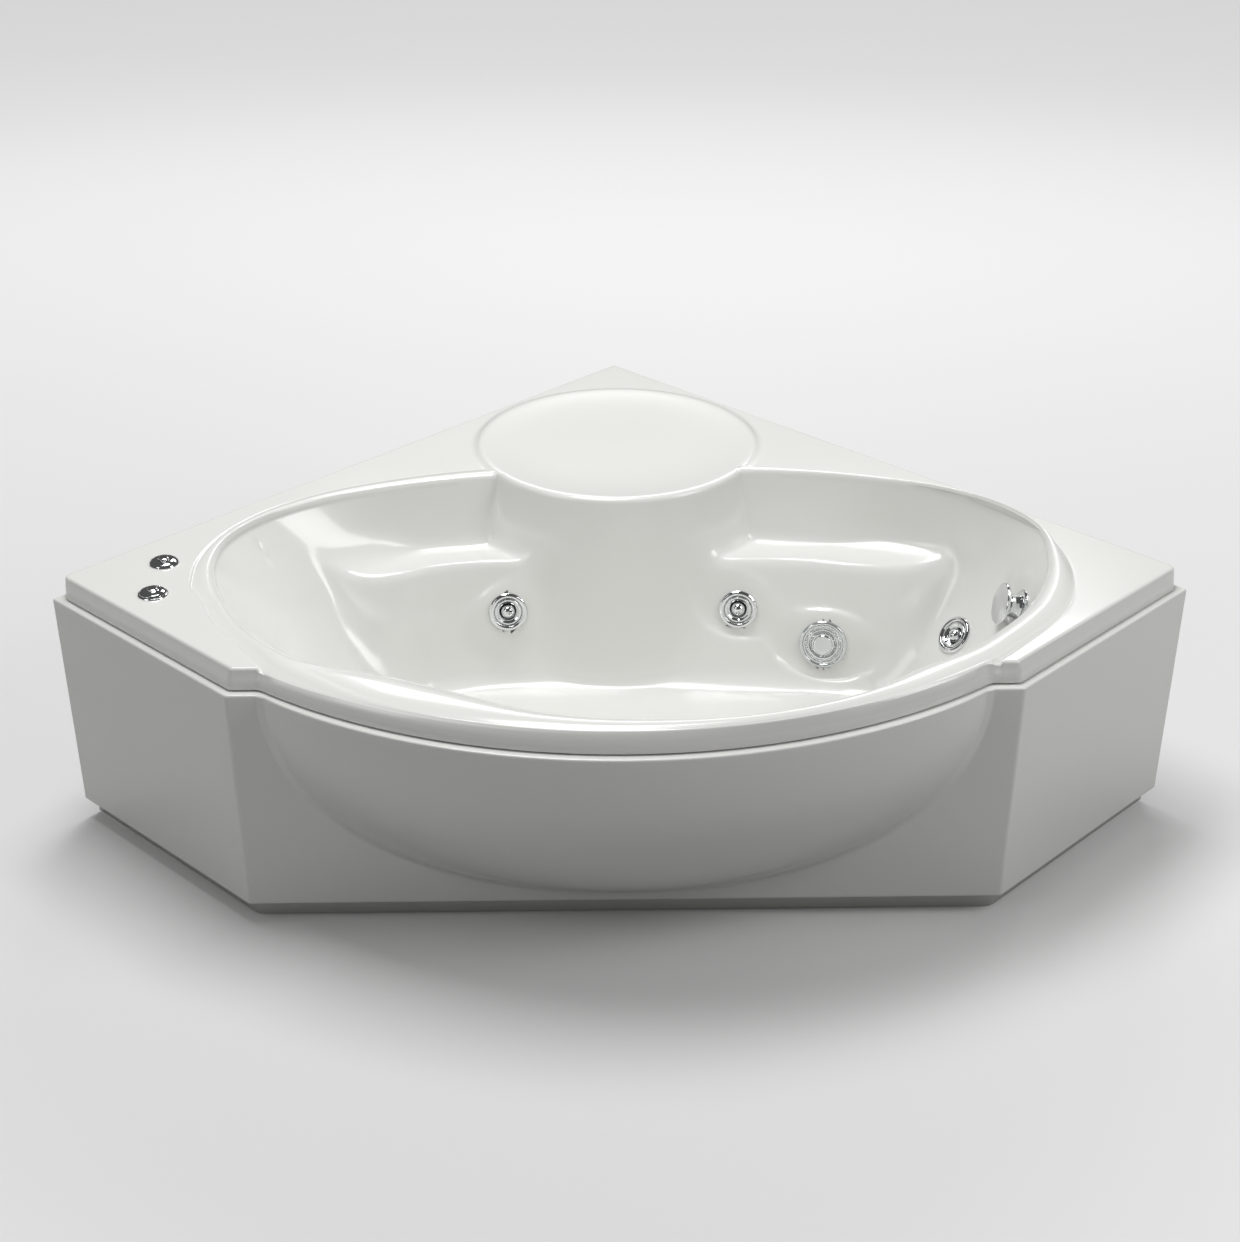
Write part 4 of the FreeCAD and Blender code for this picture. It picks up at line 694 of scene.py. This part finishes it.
def seat_patch(material):
    """Seat, pedestal and the band round them, as rings about the seat's middle."""
    rings = np.concatenate([np.linspace(*span) for span in patch_spans])
    turn = np.linspace(0.0, 2.0 * np.pi, patch_columns, endpoint=False)
    rho, angle = np.meshgrid(np.maximum(rings, patch_middle), turn, indexing="ij")
    x = rho * np.sin(angle)
    depth = seat_depth + rho * np.cos(angle)
    # nothing reaches past the rounded edge of the deck at the walls
    inset = math.sqrt(2.0) * deck_edge_radius
    beyond = np.maximum(np.abs(x) - depth + inset, 0.0)
    x, depth = x - np.sign(x) * beyond / 2.0, depth + beyond / 2.0
    lift = smooth_step((rho - seat_radius) / patch_rise)
    lift = lift * smooth_step((depth - np.abs(x) - inset) / patch_fade)
    top = surface(x, depth) + patch_lift * lift
    upper = in_plan((x, depth, top))
    lower = underside(x, depth, top)
    faces = grid_faces(len(rings), patch_columns, True)
    both = np.concatenate([upper.reshape(-1, 3), lower.reshape(-1, 3)])
    keep = (beyond.ravel() < touching)[faces].any(1)
    under = faces[keep][:, ::-1] + len(rings) * patch_columns
    patch = new_mesh("tub_seat", both, np.concatenate([faces[keep], under]), material)
    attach(patch, "tub")
    return patch


def corners_of(node):
    """The places of a node's vertices."""
    return np.array([v.co for v in NODES[node].data.vertices])


def centroid(node):
    """Mean place of a node's vertices."""
    return Vector(corners_of(node).mean(0))


def node_axis(node, behind):
    """Point under the flange and outward direction of a fitting, from its node and the one behind."""
    direction = (centroid(node) - centroid(behind)).normalized()
    co = corners_of(node)
    middle = np.array(centroid(node))
    way = np.array(direction)
    along = (co - middle) @ way
    away = np.linalg.norm(co - middle - along[:, None] * way, axis=1)
    seat = along[away > away.max() - flange_slack].min()
    return Vector(middle + way * seat), direction


def joint_axis(name):
    """Place and direction of a joint's axis."""
    joint = JOINTS[name]
    return Vector(joint["pos_m"]), Vector(joint["axis"]).normalized()


def flange_radius(node, direction, middle):
    """Largest radius about the axis of what is near its middle."""
    co = corners_of(node) - np.array(middle)
    away = co - (co @ np.array(direction))[:, None] * np.array(direction)
    near = np.linalg.norm(co, axis=1) < fitting_reach
    return float(np.linalg.norm(away[near], axis=1).max())


def wall_spots():
    """Flat spots under the wall fittings: point, direction into the basin and flange radius."""
    spots = []
    for n in (1, 2, 3):
        point, direction = joint_axis("jet_turn_%d" % n)
        spots.append((point, direction, flange_radius("jet_flanges", direction, point)))
    point, direction = node_axis("suction_rim", "suction_body")
    spots.append((point, direction, flange_radius("suction_rim", direction, point)))
    point, direction = joint_axis("knob_turn")
    spots.append((point, direction, flange_radius("overflow_flange", direction, point)))
    return spots


def over(node, height):
    """Middle of a node's plan, at a height."""
    low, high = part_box(node)
    return Vector(((low.x + high.x) / 2.0, (low.y + high.y) / 2.0, height))


up = Vector((0, 0, 1))
SPOTS = wall_spots()
WASTE = (over("waste_flange", floor_top), up, waste_radius)


def eased(profile, cut):
    """Profile with rounded corners, and with points beside them that keep the flats flat."""
    points = [np.array(profile[0])]
    for before, corner, after in zip(profile, profile[1:], profile[2:]):
        before, corner, after = np.array(before), np.array(corner), np.array(after)
        back, ahead = before - corner, after - corner
        size = min(cut, cut_share * np.hypot(*back), cut_share * np.hypot(*ahead))
        start = corner + back * size / np.hypot(*back)
        end = corner + ahead * size / np.hypot(*ahead)
        points.append(start + (start - corner) * flat_share)
        points += [start * (1.0 - t) ** 2 + corner * 2.0 * t * (1.0 - t) + end * t * t
                   for t in np.linspace(0.0, 1.0, cut_points)]
        points.append(end + (end - corner) * flat_share)
    return points + [np.array(profile[-1])]


def turned_mesh(profile, point, direction):
    """Vertices and quads of a profile of (radius, height) turned about an axis."""
    direction = Vector(direction).normalized()
    across = direction.orthogonal().normalized()
    other = direction.cross(across)
    radius, height = np.array(profile).T
    radius = np.maximum(radius, axis_radius)
    turn = np.linspace(0.0, 2.0 * np.pi, turned_sides, endpoint=False)
    out = np.cos(turn)[:, None] * np.array(across) + np.sin(turn)[:, None] * np.array(other)
    vertices = (np.array(point) + radius[:, None, None] * out[None]
                + height[:, None, None] * np.array(direction)[None, None])
    return vertices.reshape(-1, 3), grid_faces(len(radius), turned_sides, True)


def joined(meshes):
    """One set of vertices and faces from several."""
    vertices, faces, count = [], [], 0
    for part_vertices, part_faces in meshes:
        vertices.append(part_vertices)
        faces.append(part_faces + count)
        count += len(part_vertices)
    return np.concatenate(vertices), np.concatenate(faces)


def fitting(name, meshes, slot, body, node):
    """Dressed piece that takes the place of a node and rides on its body."""
    piece = new_mesh(name, *joined(meshes), MATERIALS[slot])
    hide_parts(node)
    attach(piece, body)
    return piece


def block(low, high, place, axes):
    """Box mesh between two corners in local axes."""
    corners = np.array([(x, y, z) for x in (low[0], high[0]) for y in (low[1], high[1])
                        for z in (low[2], high[2])])
    faces = np.array([(0, 1, 3, 2), (4, 6, 7, 5), (0, 4, 5, 1), (2, 3, 7, 6), (0, 2, 6, 4),
                      (1, 5, 7, 3)])
    return np.array(place) + corners @ np.array(axes), faces


# Profiles of the fittings: radius and height above the wall, the deck or the floor
jet_flange_profile = (
    (0.0205, -0.0250), (0.0240, -0.0250), (0.0240, 0.0), (0.0405, 0.0), (0.0405, 0.0016),
    (0.0395, 0.0040), (0.0370, 0.0062), (0.0340, 0.0070), (0.0310, 0.0062), (0.0288, 0.0036),
    (0.0285, 0.0016), (0.0205, 0.0016), (0.0205, -0.0250))
jet_ring_profile = (
    (0.0150, -0.0120), (0.0198, -0.0120), (0.0198, 0.0019), (0.0277, 0.0019), (0.0277, 0.0036),
    (0.0262, 0.0050), (0.0235, 0.0050), (0.0185, 0.0010), (0.0160, -0.0030), (0.0150, -0.0060),
    (0.0150, -0.0120))
suction_rim_profile = (
    (0.0310, -0.0270), (0.0360, -0.0270), (0.0360, 0.0), (0.0500, 0.0), (0.0500, 0.0024),
    (0.0485, 0.0050), (0.0455, 0.0068), (0.0430, 0.0060), (0.0413, 0.0040), (0.0413, 0.0010),
    (0.0310, 0.0010), (0.0310, -0.0270))
cap_stem_profile = ((0.0, -0.0140), (0.0030, -0.0140), (0.0030, 0.0042))
cap_edge_profile = ((0.0, 0.0042), (0.0, 0.0056), (0.0014, 0.0074), (0.0040, 0.0079))
cap_top = 0.0079
overflow_flange_profile = (
    (0.0074, -0.0250), (0.0200, -0.0250), (0.0200, 0.0), (0.0360, 0.0), (0.0360, 0.0026),
    (0.0325, 0.0050), (0.0270, 0.0060), (0.0074, 0.0060), (0.0074, -0.0250))
knob_profile = (
    (0.0, -0.0240), (0.0068, -0.0240), (0.0068, 0.0063), (0.0262, 0.0063), (0.0238, 0.0120),
    (0.0222, 0.0200), (0.0230, 0.0270), (0.0275, 0.0330), (0.0380, 0.0360), (0.0415, 0.0385),
    (0.0418, 0.0425), (0.0400, 0.0446), (0.0200, 0.0450), (0.0, 0.0450))
dome_profile = (
    (0.0108, 0.0), (0.0285, 0.0), (0.0285, 0.0010), (0.0270, 0.0038), (0.0240, 0.0064),
    (0.0205, 0.0080), (0.0165, 0.0088), (0.0108, 0.0090), (0.0108, 0.0))
button_profile = (
    (0.0, -0.0300), (0.0104, -0.0300), (0.0104, 0.0100), (0.0098, 0.0118), (0.0080, 0.0128),
    (0.0, 0.0130))
air_base_profile = (
    (0.0065, 0.0), (0.0285, 0.0), (0.0285, 0.0010), (0.0272, 0.0028), (0.0065, 0.0030), (0.0065, 0.0))
air_knob_profile = (
    (0.0, -0.0235), (0.0060, -0.0235), (0.0060, 0.0033), (0.0255, 0.0033), (0.0250, 0.0050),
    (0.0222, 0.0074), (0.0180, 0.0088), (0.0115, 0.0092), (0.0100, 0.0100), (0.0096, 0.0118),
    (0.0080, 0.0128), (0.0, 0.0130))
waste_flange_profile = (
    (0.0240, -0.0080), (0.0280, -0.0080), (0.0280, 0.0), (0.0360, 0.0), (0.0352, 0.0018),
    (0.0320, 0.0030), (0.0240, 0.0030), (0.0240, -0.0080))
waste_plug_profile = (
    (0.0, -0.0360), (0.0040, -0.0360), (0.0040, 0.0034), (0.0270, 0.0034), (0.0268, 0.0055),
    (0.0240, 0.0078), (0.0120, 0.0082), (0.0, 0.0083))


def jets():
    """Flanges, turning rings and swivelling balls of the three jets."""
    flanges = []
    for n, (point, direction, _) in enumerate(SPOTS[:3], 1):
        flanges.append(turned_mesh(eased(jet_flange_profile, wall_cut), point, direction))
        ring = turned_mesh(eased(jet_ring_profile, wall_cut), point, direction)
        fitting("jet_ring_form_%d" % n, [ring], "chrome", "jet_cup_%d" % n, "jet_ring_%d" % n)
        across = up.cross(direction).normalized()
        aside, aloft = jet_aims[n - 1]
        aim = (direction + across * aside + direction.cross(across) * aloft).normalized()
        first = math.asin(nozzle_radius / ball_radius)
        profile = [(ball_radius * math.sin(a), ball_radius * math.cos(a))
                   for a in np.linspace(math.pi, first, ball_points)]
        profile += [(nozzle_radius - nozzle_edge, profile[-1][1] - nozzle_edge_drop),
                    (nozzle_radius - nozzle_taper, nozzle_floor), (0.0, nozzle_floor)]
        fitting("jet_ball_form_%d" % n, [turned_mesh(profile, point - direction * ball_depth, aim)],
                "chrome_ball", "jet_eye_%d" % n, "jet_ball_%d" % n)
    fitting("jet_flange_forms", flanges, "chrome", "tub", "jet_flanges")


def suction():
    """Clear rim, fine grille and round cap of the suction."""
    point, direction, _ = SPOTS[3]
    fitting("suction_rim_form", [turned_mesh(eased(suction_rim_profile, wall_cut), point, direction)],
            "clear_rim", "tub", "suction_rim")
    across = up.cross(direction).normalized()
    aloft = direction.cross(across)
    parts = []
    for low, high in grille_bands:
        band = ((low, grille_low), (high, grille_low), (high, grille_high), (low, grille_high),
                (low, grille_low))
        parts.append(turned_mesh(eased(band, band_cut), point, direction))
    for (_, inner), (outer, _) in zip(grille_bands, grille_bands[1:]):
        for k in range(rib_count):
            a = 2.0 * math.pi * k / rib_count
            way = across * math.cos(a) + aloft * math.sin(a)
            axes = (way, direction.cross(way), direction)
            half = spoke_half if k % (rib_count // spoke_count) == first_spoke else rib_half
            parts.append(block((inner - rib_overlap, -half, grille_low + rib_rise),
                               (outer + rib_overlap, half, grille_high - rib_sink), point, axes))
    fitting("suction_grille_form", parts, "chrome", "tub", "suction_grille")
    cap = flange_radius("suction_cap", direction, point)
    edge = tuple((cap - inset, height) for inset, height in cap_edge_profile)
    profile = cap_stem_profile + edge + ((0.0, cap_top),)
    fitting("suction_cap_form", [turned_mesh(eased(profile, wall_cut), point, direction)],
            "chrome", "tub", "suction_cap")


def controls():
    """Waste knob, start button, air control and waste."""
    point, direction, _ = SPOTS[4]
    for name, profile, cut, body, node in (
            ("overflow_flange_form", overflow_flange_profile, overflow_cut, "tub", "overflow_flange"),
            ("overflow_knob_form", knob_profile, knob_cut, "waste_control", "overflow_knob")):
        fitting(name, [turned_mesh(eased(profile, cut), point, direction)], "chrome", body, node)
    for node, profile, body in (
            ("button_bezel", dome_profile, "tub"), ("push_button", button_profile, "start_button"),
            ("air_bezel", air_base_profile, "tub"), ("air_knob", air_knob_profile, "air_control"),
            ("waste_flange", waste_flange_profile, "tub"), ("waste_plug", waste_plug_profile, "plug")):
        middle = WASTE[0] if node.startswith("waste") else over(node, deck_top)
        fitting(node + "_form", [turned_mesh(eased(profile, deck_cut), middle, up)],
                "chrome", body, node)


def skirt_shape(material):
    """Skirt with its tapering panels, round bulge, top flange and set-back plinth."""
    top = skirt_high.z
    front = front_corner_depth + skirt_offset
    drop = top - bulge_foot
    foot_radius = front - bow_depth
    gain = bow_radius + skirt_offset - foot_radius
    round_radius = (gain**2 + drop**2) / (2.0 * gain)
    ring_radius = bow_radius + skirt_offset - round_radius

    def outline(offset, height, corner_radius, bulge_offset):
        """Plan points of one level, and the same number of them at every level."""
        wall_end = half_diagonal + offset / math.sqrt(2.0)
        corner = np.array([front_corner_x + offset * corner_mitre, front_corner_depth + offset])
        end = np.array([wall_end, wall_end])
        to_end = (end - corner) / np.hypot(*(end - corner))
        reach = corner_radius * corner_mitre
        points = spaced(end, corner + to_end * reach, side_points)
        turn_centre = corner + to_end * reach + np.array([-to_end[1], to_end[0]]) * corner_radius
        if turn_centre[1] > corner[1]:
            turn_centre = corner + to_end * reach - np.array([-to_end[1], to_end[0]]) * corner_radius
        first = corner + to_end * reach - turn_centre
        for a in np.linspace(0.0, math.pi / 4.0, turn_points):
            turned = np.array([first[0] * math.cos(a) - first[1] * math.sin(a),
                               first[0] * math.sin(a) + first[1] * math.cos(a)])
            points.append(tuple(turn_centre + turned))
        xs = np.linspace(points[-1][0], 0.0, front_points)[1:]
        depth = np.full_like(xs, corner[1])
        if bulge_offset is not None:
            fall = max(top - height, 0.0)
            radius = ring_radius + math.sqrt(max(round_radius**2 - fall**2, 0.0)) - bulge_offset
            swell = bow_depth + np.sqrt(np.maximum(radius**2 - xs**2, 0.0)) - corner[1]
            depth = depth + np.where(swell > 0.0, bevelled(swell), 0.0)
        points += list(zip(xs, depth))
        right = np.array(points)
        left = right[:-1][::-1] * np.array([-1.0, 1.0])
        return in_plan((*np.concatenate([right, left]).T, np.full(len(right) * 2 - 1, height)))

    def bevelled(swell):
        """The bulge starts with a gentle bevel before its full slope."""
        gone = bevel_width * (1.0 - bevel_slope)
        return np.where(swell < bevel_width, swell * bevel_slope,
                        swell - gone * np.exp((bevel_width - swell) / bevel_fade))

    def lean(height):
        """The panels taper inward on their way down."""
        return skirt_offset - skirt_taper * (top - height) / (top - skirt_foot)

    # from the flange over the outside down to the plinth, and up again inside
    levels = [(lean(top) - skirt_flange, top - flange_drop, flange_corner, skirt_flange)]
    for a in np.linspace(0.0, math.pi / 2.0, edge_rows):
        inset = skirt_edge_radius * (1.0 - math.sin(a))
        height = top - skirt_edge_radius * (1.0 - math.cos(a))
        levels.append((lean(height) - inset, height, skirt_corner, inset))
    low = skirt_foot + skirt_foot_round
    for height in np.linspace(top - skirt_edge_radius, low, outer_rows)[1:]:
        levels.append((lean(height), height, skirt_corner, 0.0))
    inner_plinth, inner_foot = plinth_offset - skirt_wall, skirt_foot + skirt_wall
    levels += [
        (lean(skirt_foot) - skirt_foot_round, skirt_foot, skirt_corner, None),
        (plinth_offset + plinth_round, skirt_foot, plinth_radius, None),
        (plinth_offset, skirt_foot - plinth_round, plinth_radius, None),
        (plinth_offset, plinth_low, plinth_radius, None),
        (inner_plinth, plinth_low, plinth_radius - skirt_wall, None),
        (inner_plinth, inner_foot, plinth_radius - skirt_wall, None),
        (lean(skirt_foot) - skirt_wall, inner_foot, inner_corner, None)]
    for height in np.linspace(inner_foot + skirt_wall, top - skirt_wall, inner_rows):
        levels.append((lean(height) - skirt_wall, height, inner_corner, 2.0 * skirt_wall))
    levels.append((lean(top) - skirt_flange, top - skirt_wall, flange_corner, skirt_flange))
    rows = [outline(*level) for level in levels]
    rows.append(rows[0])
    rows = np.array(rows)
    faces = grid_faces(len(rows), rows.shape[1], False)[:, ::-1]
    panel = new_mesh("skirt_form", rows.reshape(-1, 3), faces, material)
    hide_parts("skirt_panel")
    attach(panel, "tub")
    return panel


def node_material(name, colour, roughness, metallic=0.0, coat=0.0, grain=0.0, grain_scale=60.0):
    """Principled material with a faint procedural unevenness."""
    material = bpy.data.materials.new(name)
    material.use_nodes = True
    nodes, links = material.node_tree.nodes, material.node_tree.links
    shader = nodes["Principled BSDF"]
    shader.inputs["Base Color"].default_value = (*colour, 1.0)
    shader.inputs["Metallic"].default_value = metallic
    shader.inputs["Roughness"].default_value = roughness
    shader.inputs["Coat Weight"].default_value = coat
    shader.inputs["Coat Roughness"].default_value = coat_roughness
    noise = nodes.new("ShaderNodeTexNoise")
    noise.inputs["Scale"].default_value = grain_scale
    place = nodes.new("ShaderNodeTexCoord")
    links.new(place.outputs["Object"], noise.inputs["Vector"])
    spread = nodes.new("ShaderNodeMapRange")
    spread.inputs["To Min"].default_value = max(roughness - roughness_spread, 0.0)
    spread.inputs["To Max"].default_value = roughness + roughness_spread
    links.new(noise.outputs["Fac"], spread.inputs["Value"])
    links.new(spread.outputs["Result"], shader.inputs["Roughness"])
    if grain:
        bump = nodes.new("ShaderNodeBump")
        bump.inputs["Strength"].default_value = grain
        bump.inputs["Distance"].default_value = bump_distance
        links.new(noise.outputs["Fac"], bump.inputs["Height"])
        links.new(bump.outputs["Normal"], shader.inputs["Normal"])
    return material


# Materials: name, colour, roughness, metal, coat, grain and its scale
MATERIALS = {row[0]: node_material(*row) for row in (
    ("acrylic", (0.78, 0.78, 0.755), 0.2, 0.0, 0.35, 0.0, 4.0),
    ("acrylic_skirt", (0.76, 0.76, 0.735), 0.24, 0.0, 0.3, 0.0, 4.0),
    ("chrome", (0.80, 0.81, 0.82), 0.05, 1.0),
    ("chrome_ball", (0.78, 0.79, 0.8), 0.06, 1.0),
    ("clear_rim", (0.72, 0.74, 0.75), 0.14, 0.8),
    ("steel", (0.6, 0.6, 0.6), 0.3, 1.0),
    ("galvanised", (0.55, 0.57, 0.58), 0.42, 0.9, 0.0, 0.1, 40.0),
    ("frame_paint", (0.42, 0.43, 0.44), 0.4, 0.0, 0.0, 0.05),
    ("rubber", (0.03, 0.03, 0.03), 0.7),
    ("white_plastic", (0.74, 0.74, 0.72), 0.4),
    ("black_plastic", (0.025, 0.025, 0.028), 0.4),
    ("impeller_plastic", (0.08, 0.085, 0.09), 0.4),
    ("board", (0.45, 0.31, 0.18), 0.7, 0.0, 0.0, 0.3, 90.0),
    ("motor_paint", (0.07, 0.085, 0.1), 0.38, 0.0, 0.0, 0.1, 150.0),
    ("hose", (0.7, 0.7, 0.69), 0.3),
    ("clear_tube", (0.62, 0.66, 0.68), 0.2))}


def dress_nodes():
    """Every node of the part gets the material of its slot."""
    for row in frame["record"]["subparts"]:
        node = NODES[row["node"]]
        node.data.materials.clear()
        node.data.materials.append(MATERIALS[row["material_slot"]])


def joined_by(operation, nodes, links, first, second):
    """Output of a Math node over two sockets."""
    node = nodes.new("ShaderNodeMath")
    node.operation = operation
    links.new(first, node.inputs[0])
    links.new(second, node.inputs[1])
    return node.outputs["Value"]


def floor_material():
    """Pale to the eye and in mirrors, brighter far from the tub, and darker as a stray light."""
    material = node_material("studio", (floor_pale, floor_pale, floor_pale), floor_roughness)
    nodes, links = material.node_tree.nodes, material.node_tree.links
    shader = nodes["Principled BSDF"]
    paths = nodes.new("ShaderNodeLightPath")
    seen = paths.outputs["Is Camera Ray"]
    for kind in ("Is Glossy Ray", "Is Transmission Ray"):
        seen = joined_by("MAXIMUM", nodes, links, seen, paths.outputs[kind])
    colour = nodes.new("ShaderNodeMix")
    colour.data_type = "RGBA"
    colour.inputs["A"].default_value = (floor_stray, floor_stray, floor_stray, 1.0)
    colour.inputs["B"].default_value = (floor_pale, floor_pale, floor_pale, 1.0)
    links.new(seen, colour.inputs["Factor"])
    links.new(colour.outputs["Result"], shader.inputs["Base Color"])
    place = nodes.new("ShaderNodeTexCoord")
    away = nodes.new("ShaderNodeVectorMath")
    away.operation = "LENGTH"
    links.new(place.outputs["Object"], away.inputs[0])
    glow = nodes.new("ShaderNodeMapRange")
    glow.interpolation_type = "SMOOTHSTEP"
    for key, value in (
            ("From Min", glow_start), ("From Max", glow_end), ("To Min", 0.0), ("To Max", floor_glow)):
        glow.inputs[key].default_value = value
    links.new(away.outputs["Value"], glow.inputs["Value"])
    product = joined_by("MULTIPLY", nodes, links, glow.outputs["Result"], seen)
    shader.inputs["Emission Color"].default_value = (1.0, 1.0, 1.0, 1.0)
    links.new(product, shader.inputs["Emission Strength"])
    return material


def studio():
    """Pale floor, soft lights and the camera of the photograph."""
    scene = bpy.context.scene
    square = [(x * floor_half, y * floor_half, 0.0) for x, y in ((-1, -1), (1, -1), (1, 1), (-1, 1))]
    floor = new_mesh("studio_floor", square, [(0, 1, 2, 3)], floor_material())
    floor.location.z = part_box("foot_pads")[0].z - floor_gap
    world = bpy.data.worlds.new("studio_world")
    scene.world = world
    world.use_nodes = True
    nodes, links = world.node_tree.nodes, world.node_tree.links
    background = nodes["Background"]
    background.inputs["Color"].default_value = (world_colour, world_colour, world_colour, 1.0)
    paths = nodes.new("ShaderNodeLightPath")
    strength = nodes.new("ShaderNodeMapRange")
    strength.inputs["To Min"].default_value = world_light
    strength.inputs["To Max"].default_value = world_mirror
    links.new(paths.outputs["Is Glossy Ray"], strength.inputs["Value"])
    links.new(strength.outputs["Result"], background.inputs["Strength"])
    for name, place, target, width, height, power in lamps:
        data = bpy.data.lights.new(name, "AREA")
        data.shape = "RECTANGLE"
        data.size, data.size_y, data.energy = width, height, power
        lamp = bpy.data.objects.new(name, data)
        lamp.location = place
        lamp.rotation_mode = "QUATERNION"
        lamp.rotation_quaternion = (Vector(target) - Vector(place)).to_track_quat("-Z", "Y")
        scene.collection.objects.link(lamp)
    data = bpy.data.cameras.new("camera")
    data.sensor_width = sensor_mm
    data.lens = photo_focal / photo_height * sensor_mm
    data.shift_x = -(photo_middle_x - photo_width / 2.0) / photo_height
    data.shift_y = (photo_middle_y - photo_height / 2.0) / photo_height
    camera = bpy.data.objects.new("camera", data)
    forward = Vector((-math.sin(camera_yaw) * math.cos(camera_pitch),
                      math.cos(camera_yaw) * math.cos(camera_pitch), -math.sin(camera_pitch)))
    right = Vector((math.cos(camera_yaw), math.sin(camera_yaw), 0.0))
    above = right.cross(forward)
    turned_right = right * math.cos(camera_roll) + above * math.sin(camera_roll)
    turned_up = above * math.cos(camera_roll) - right * math.sin(camera_roll)
    rotation = Matrix((turned_right, turned_up, -forward)).transposed()
    place = Matrix.Translation((camera_x, corner_y - camera_depth, camera_height))
    camera.matrix_world = place @ rotation.to_4x4()
    scene.collection.objects.link(camera)
    scene.camera = camera
    scene.view_settings.view_transform = "Standard"


def main():
    """Dress the part and set up the studio."""
    dress_nodes()
    tub_body(MATERIALS["acrylic"])
    seat_patch(MATERIALS["acrylic"])
    skirt_shape(MATERIALS["acrylic_skirt"])
    jets()
    suction()
    controls()
    studio()
    bpy.context.view_layer.update()


main()
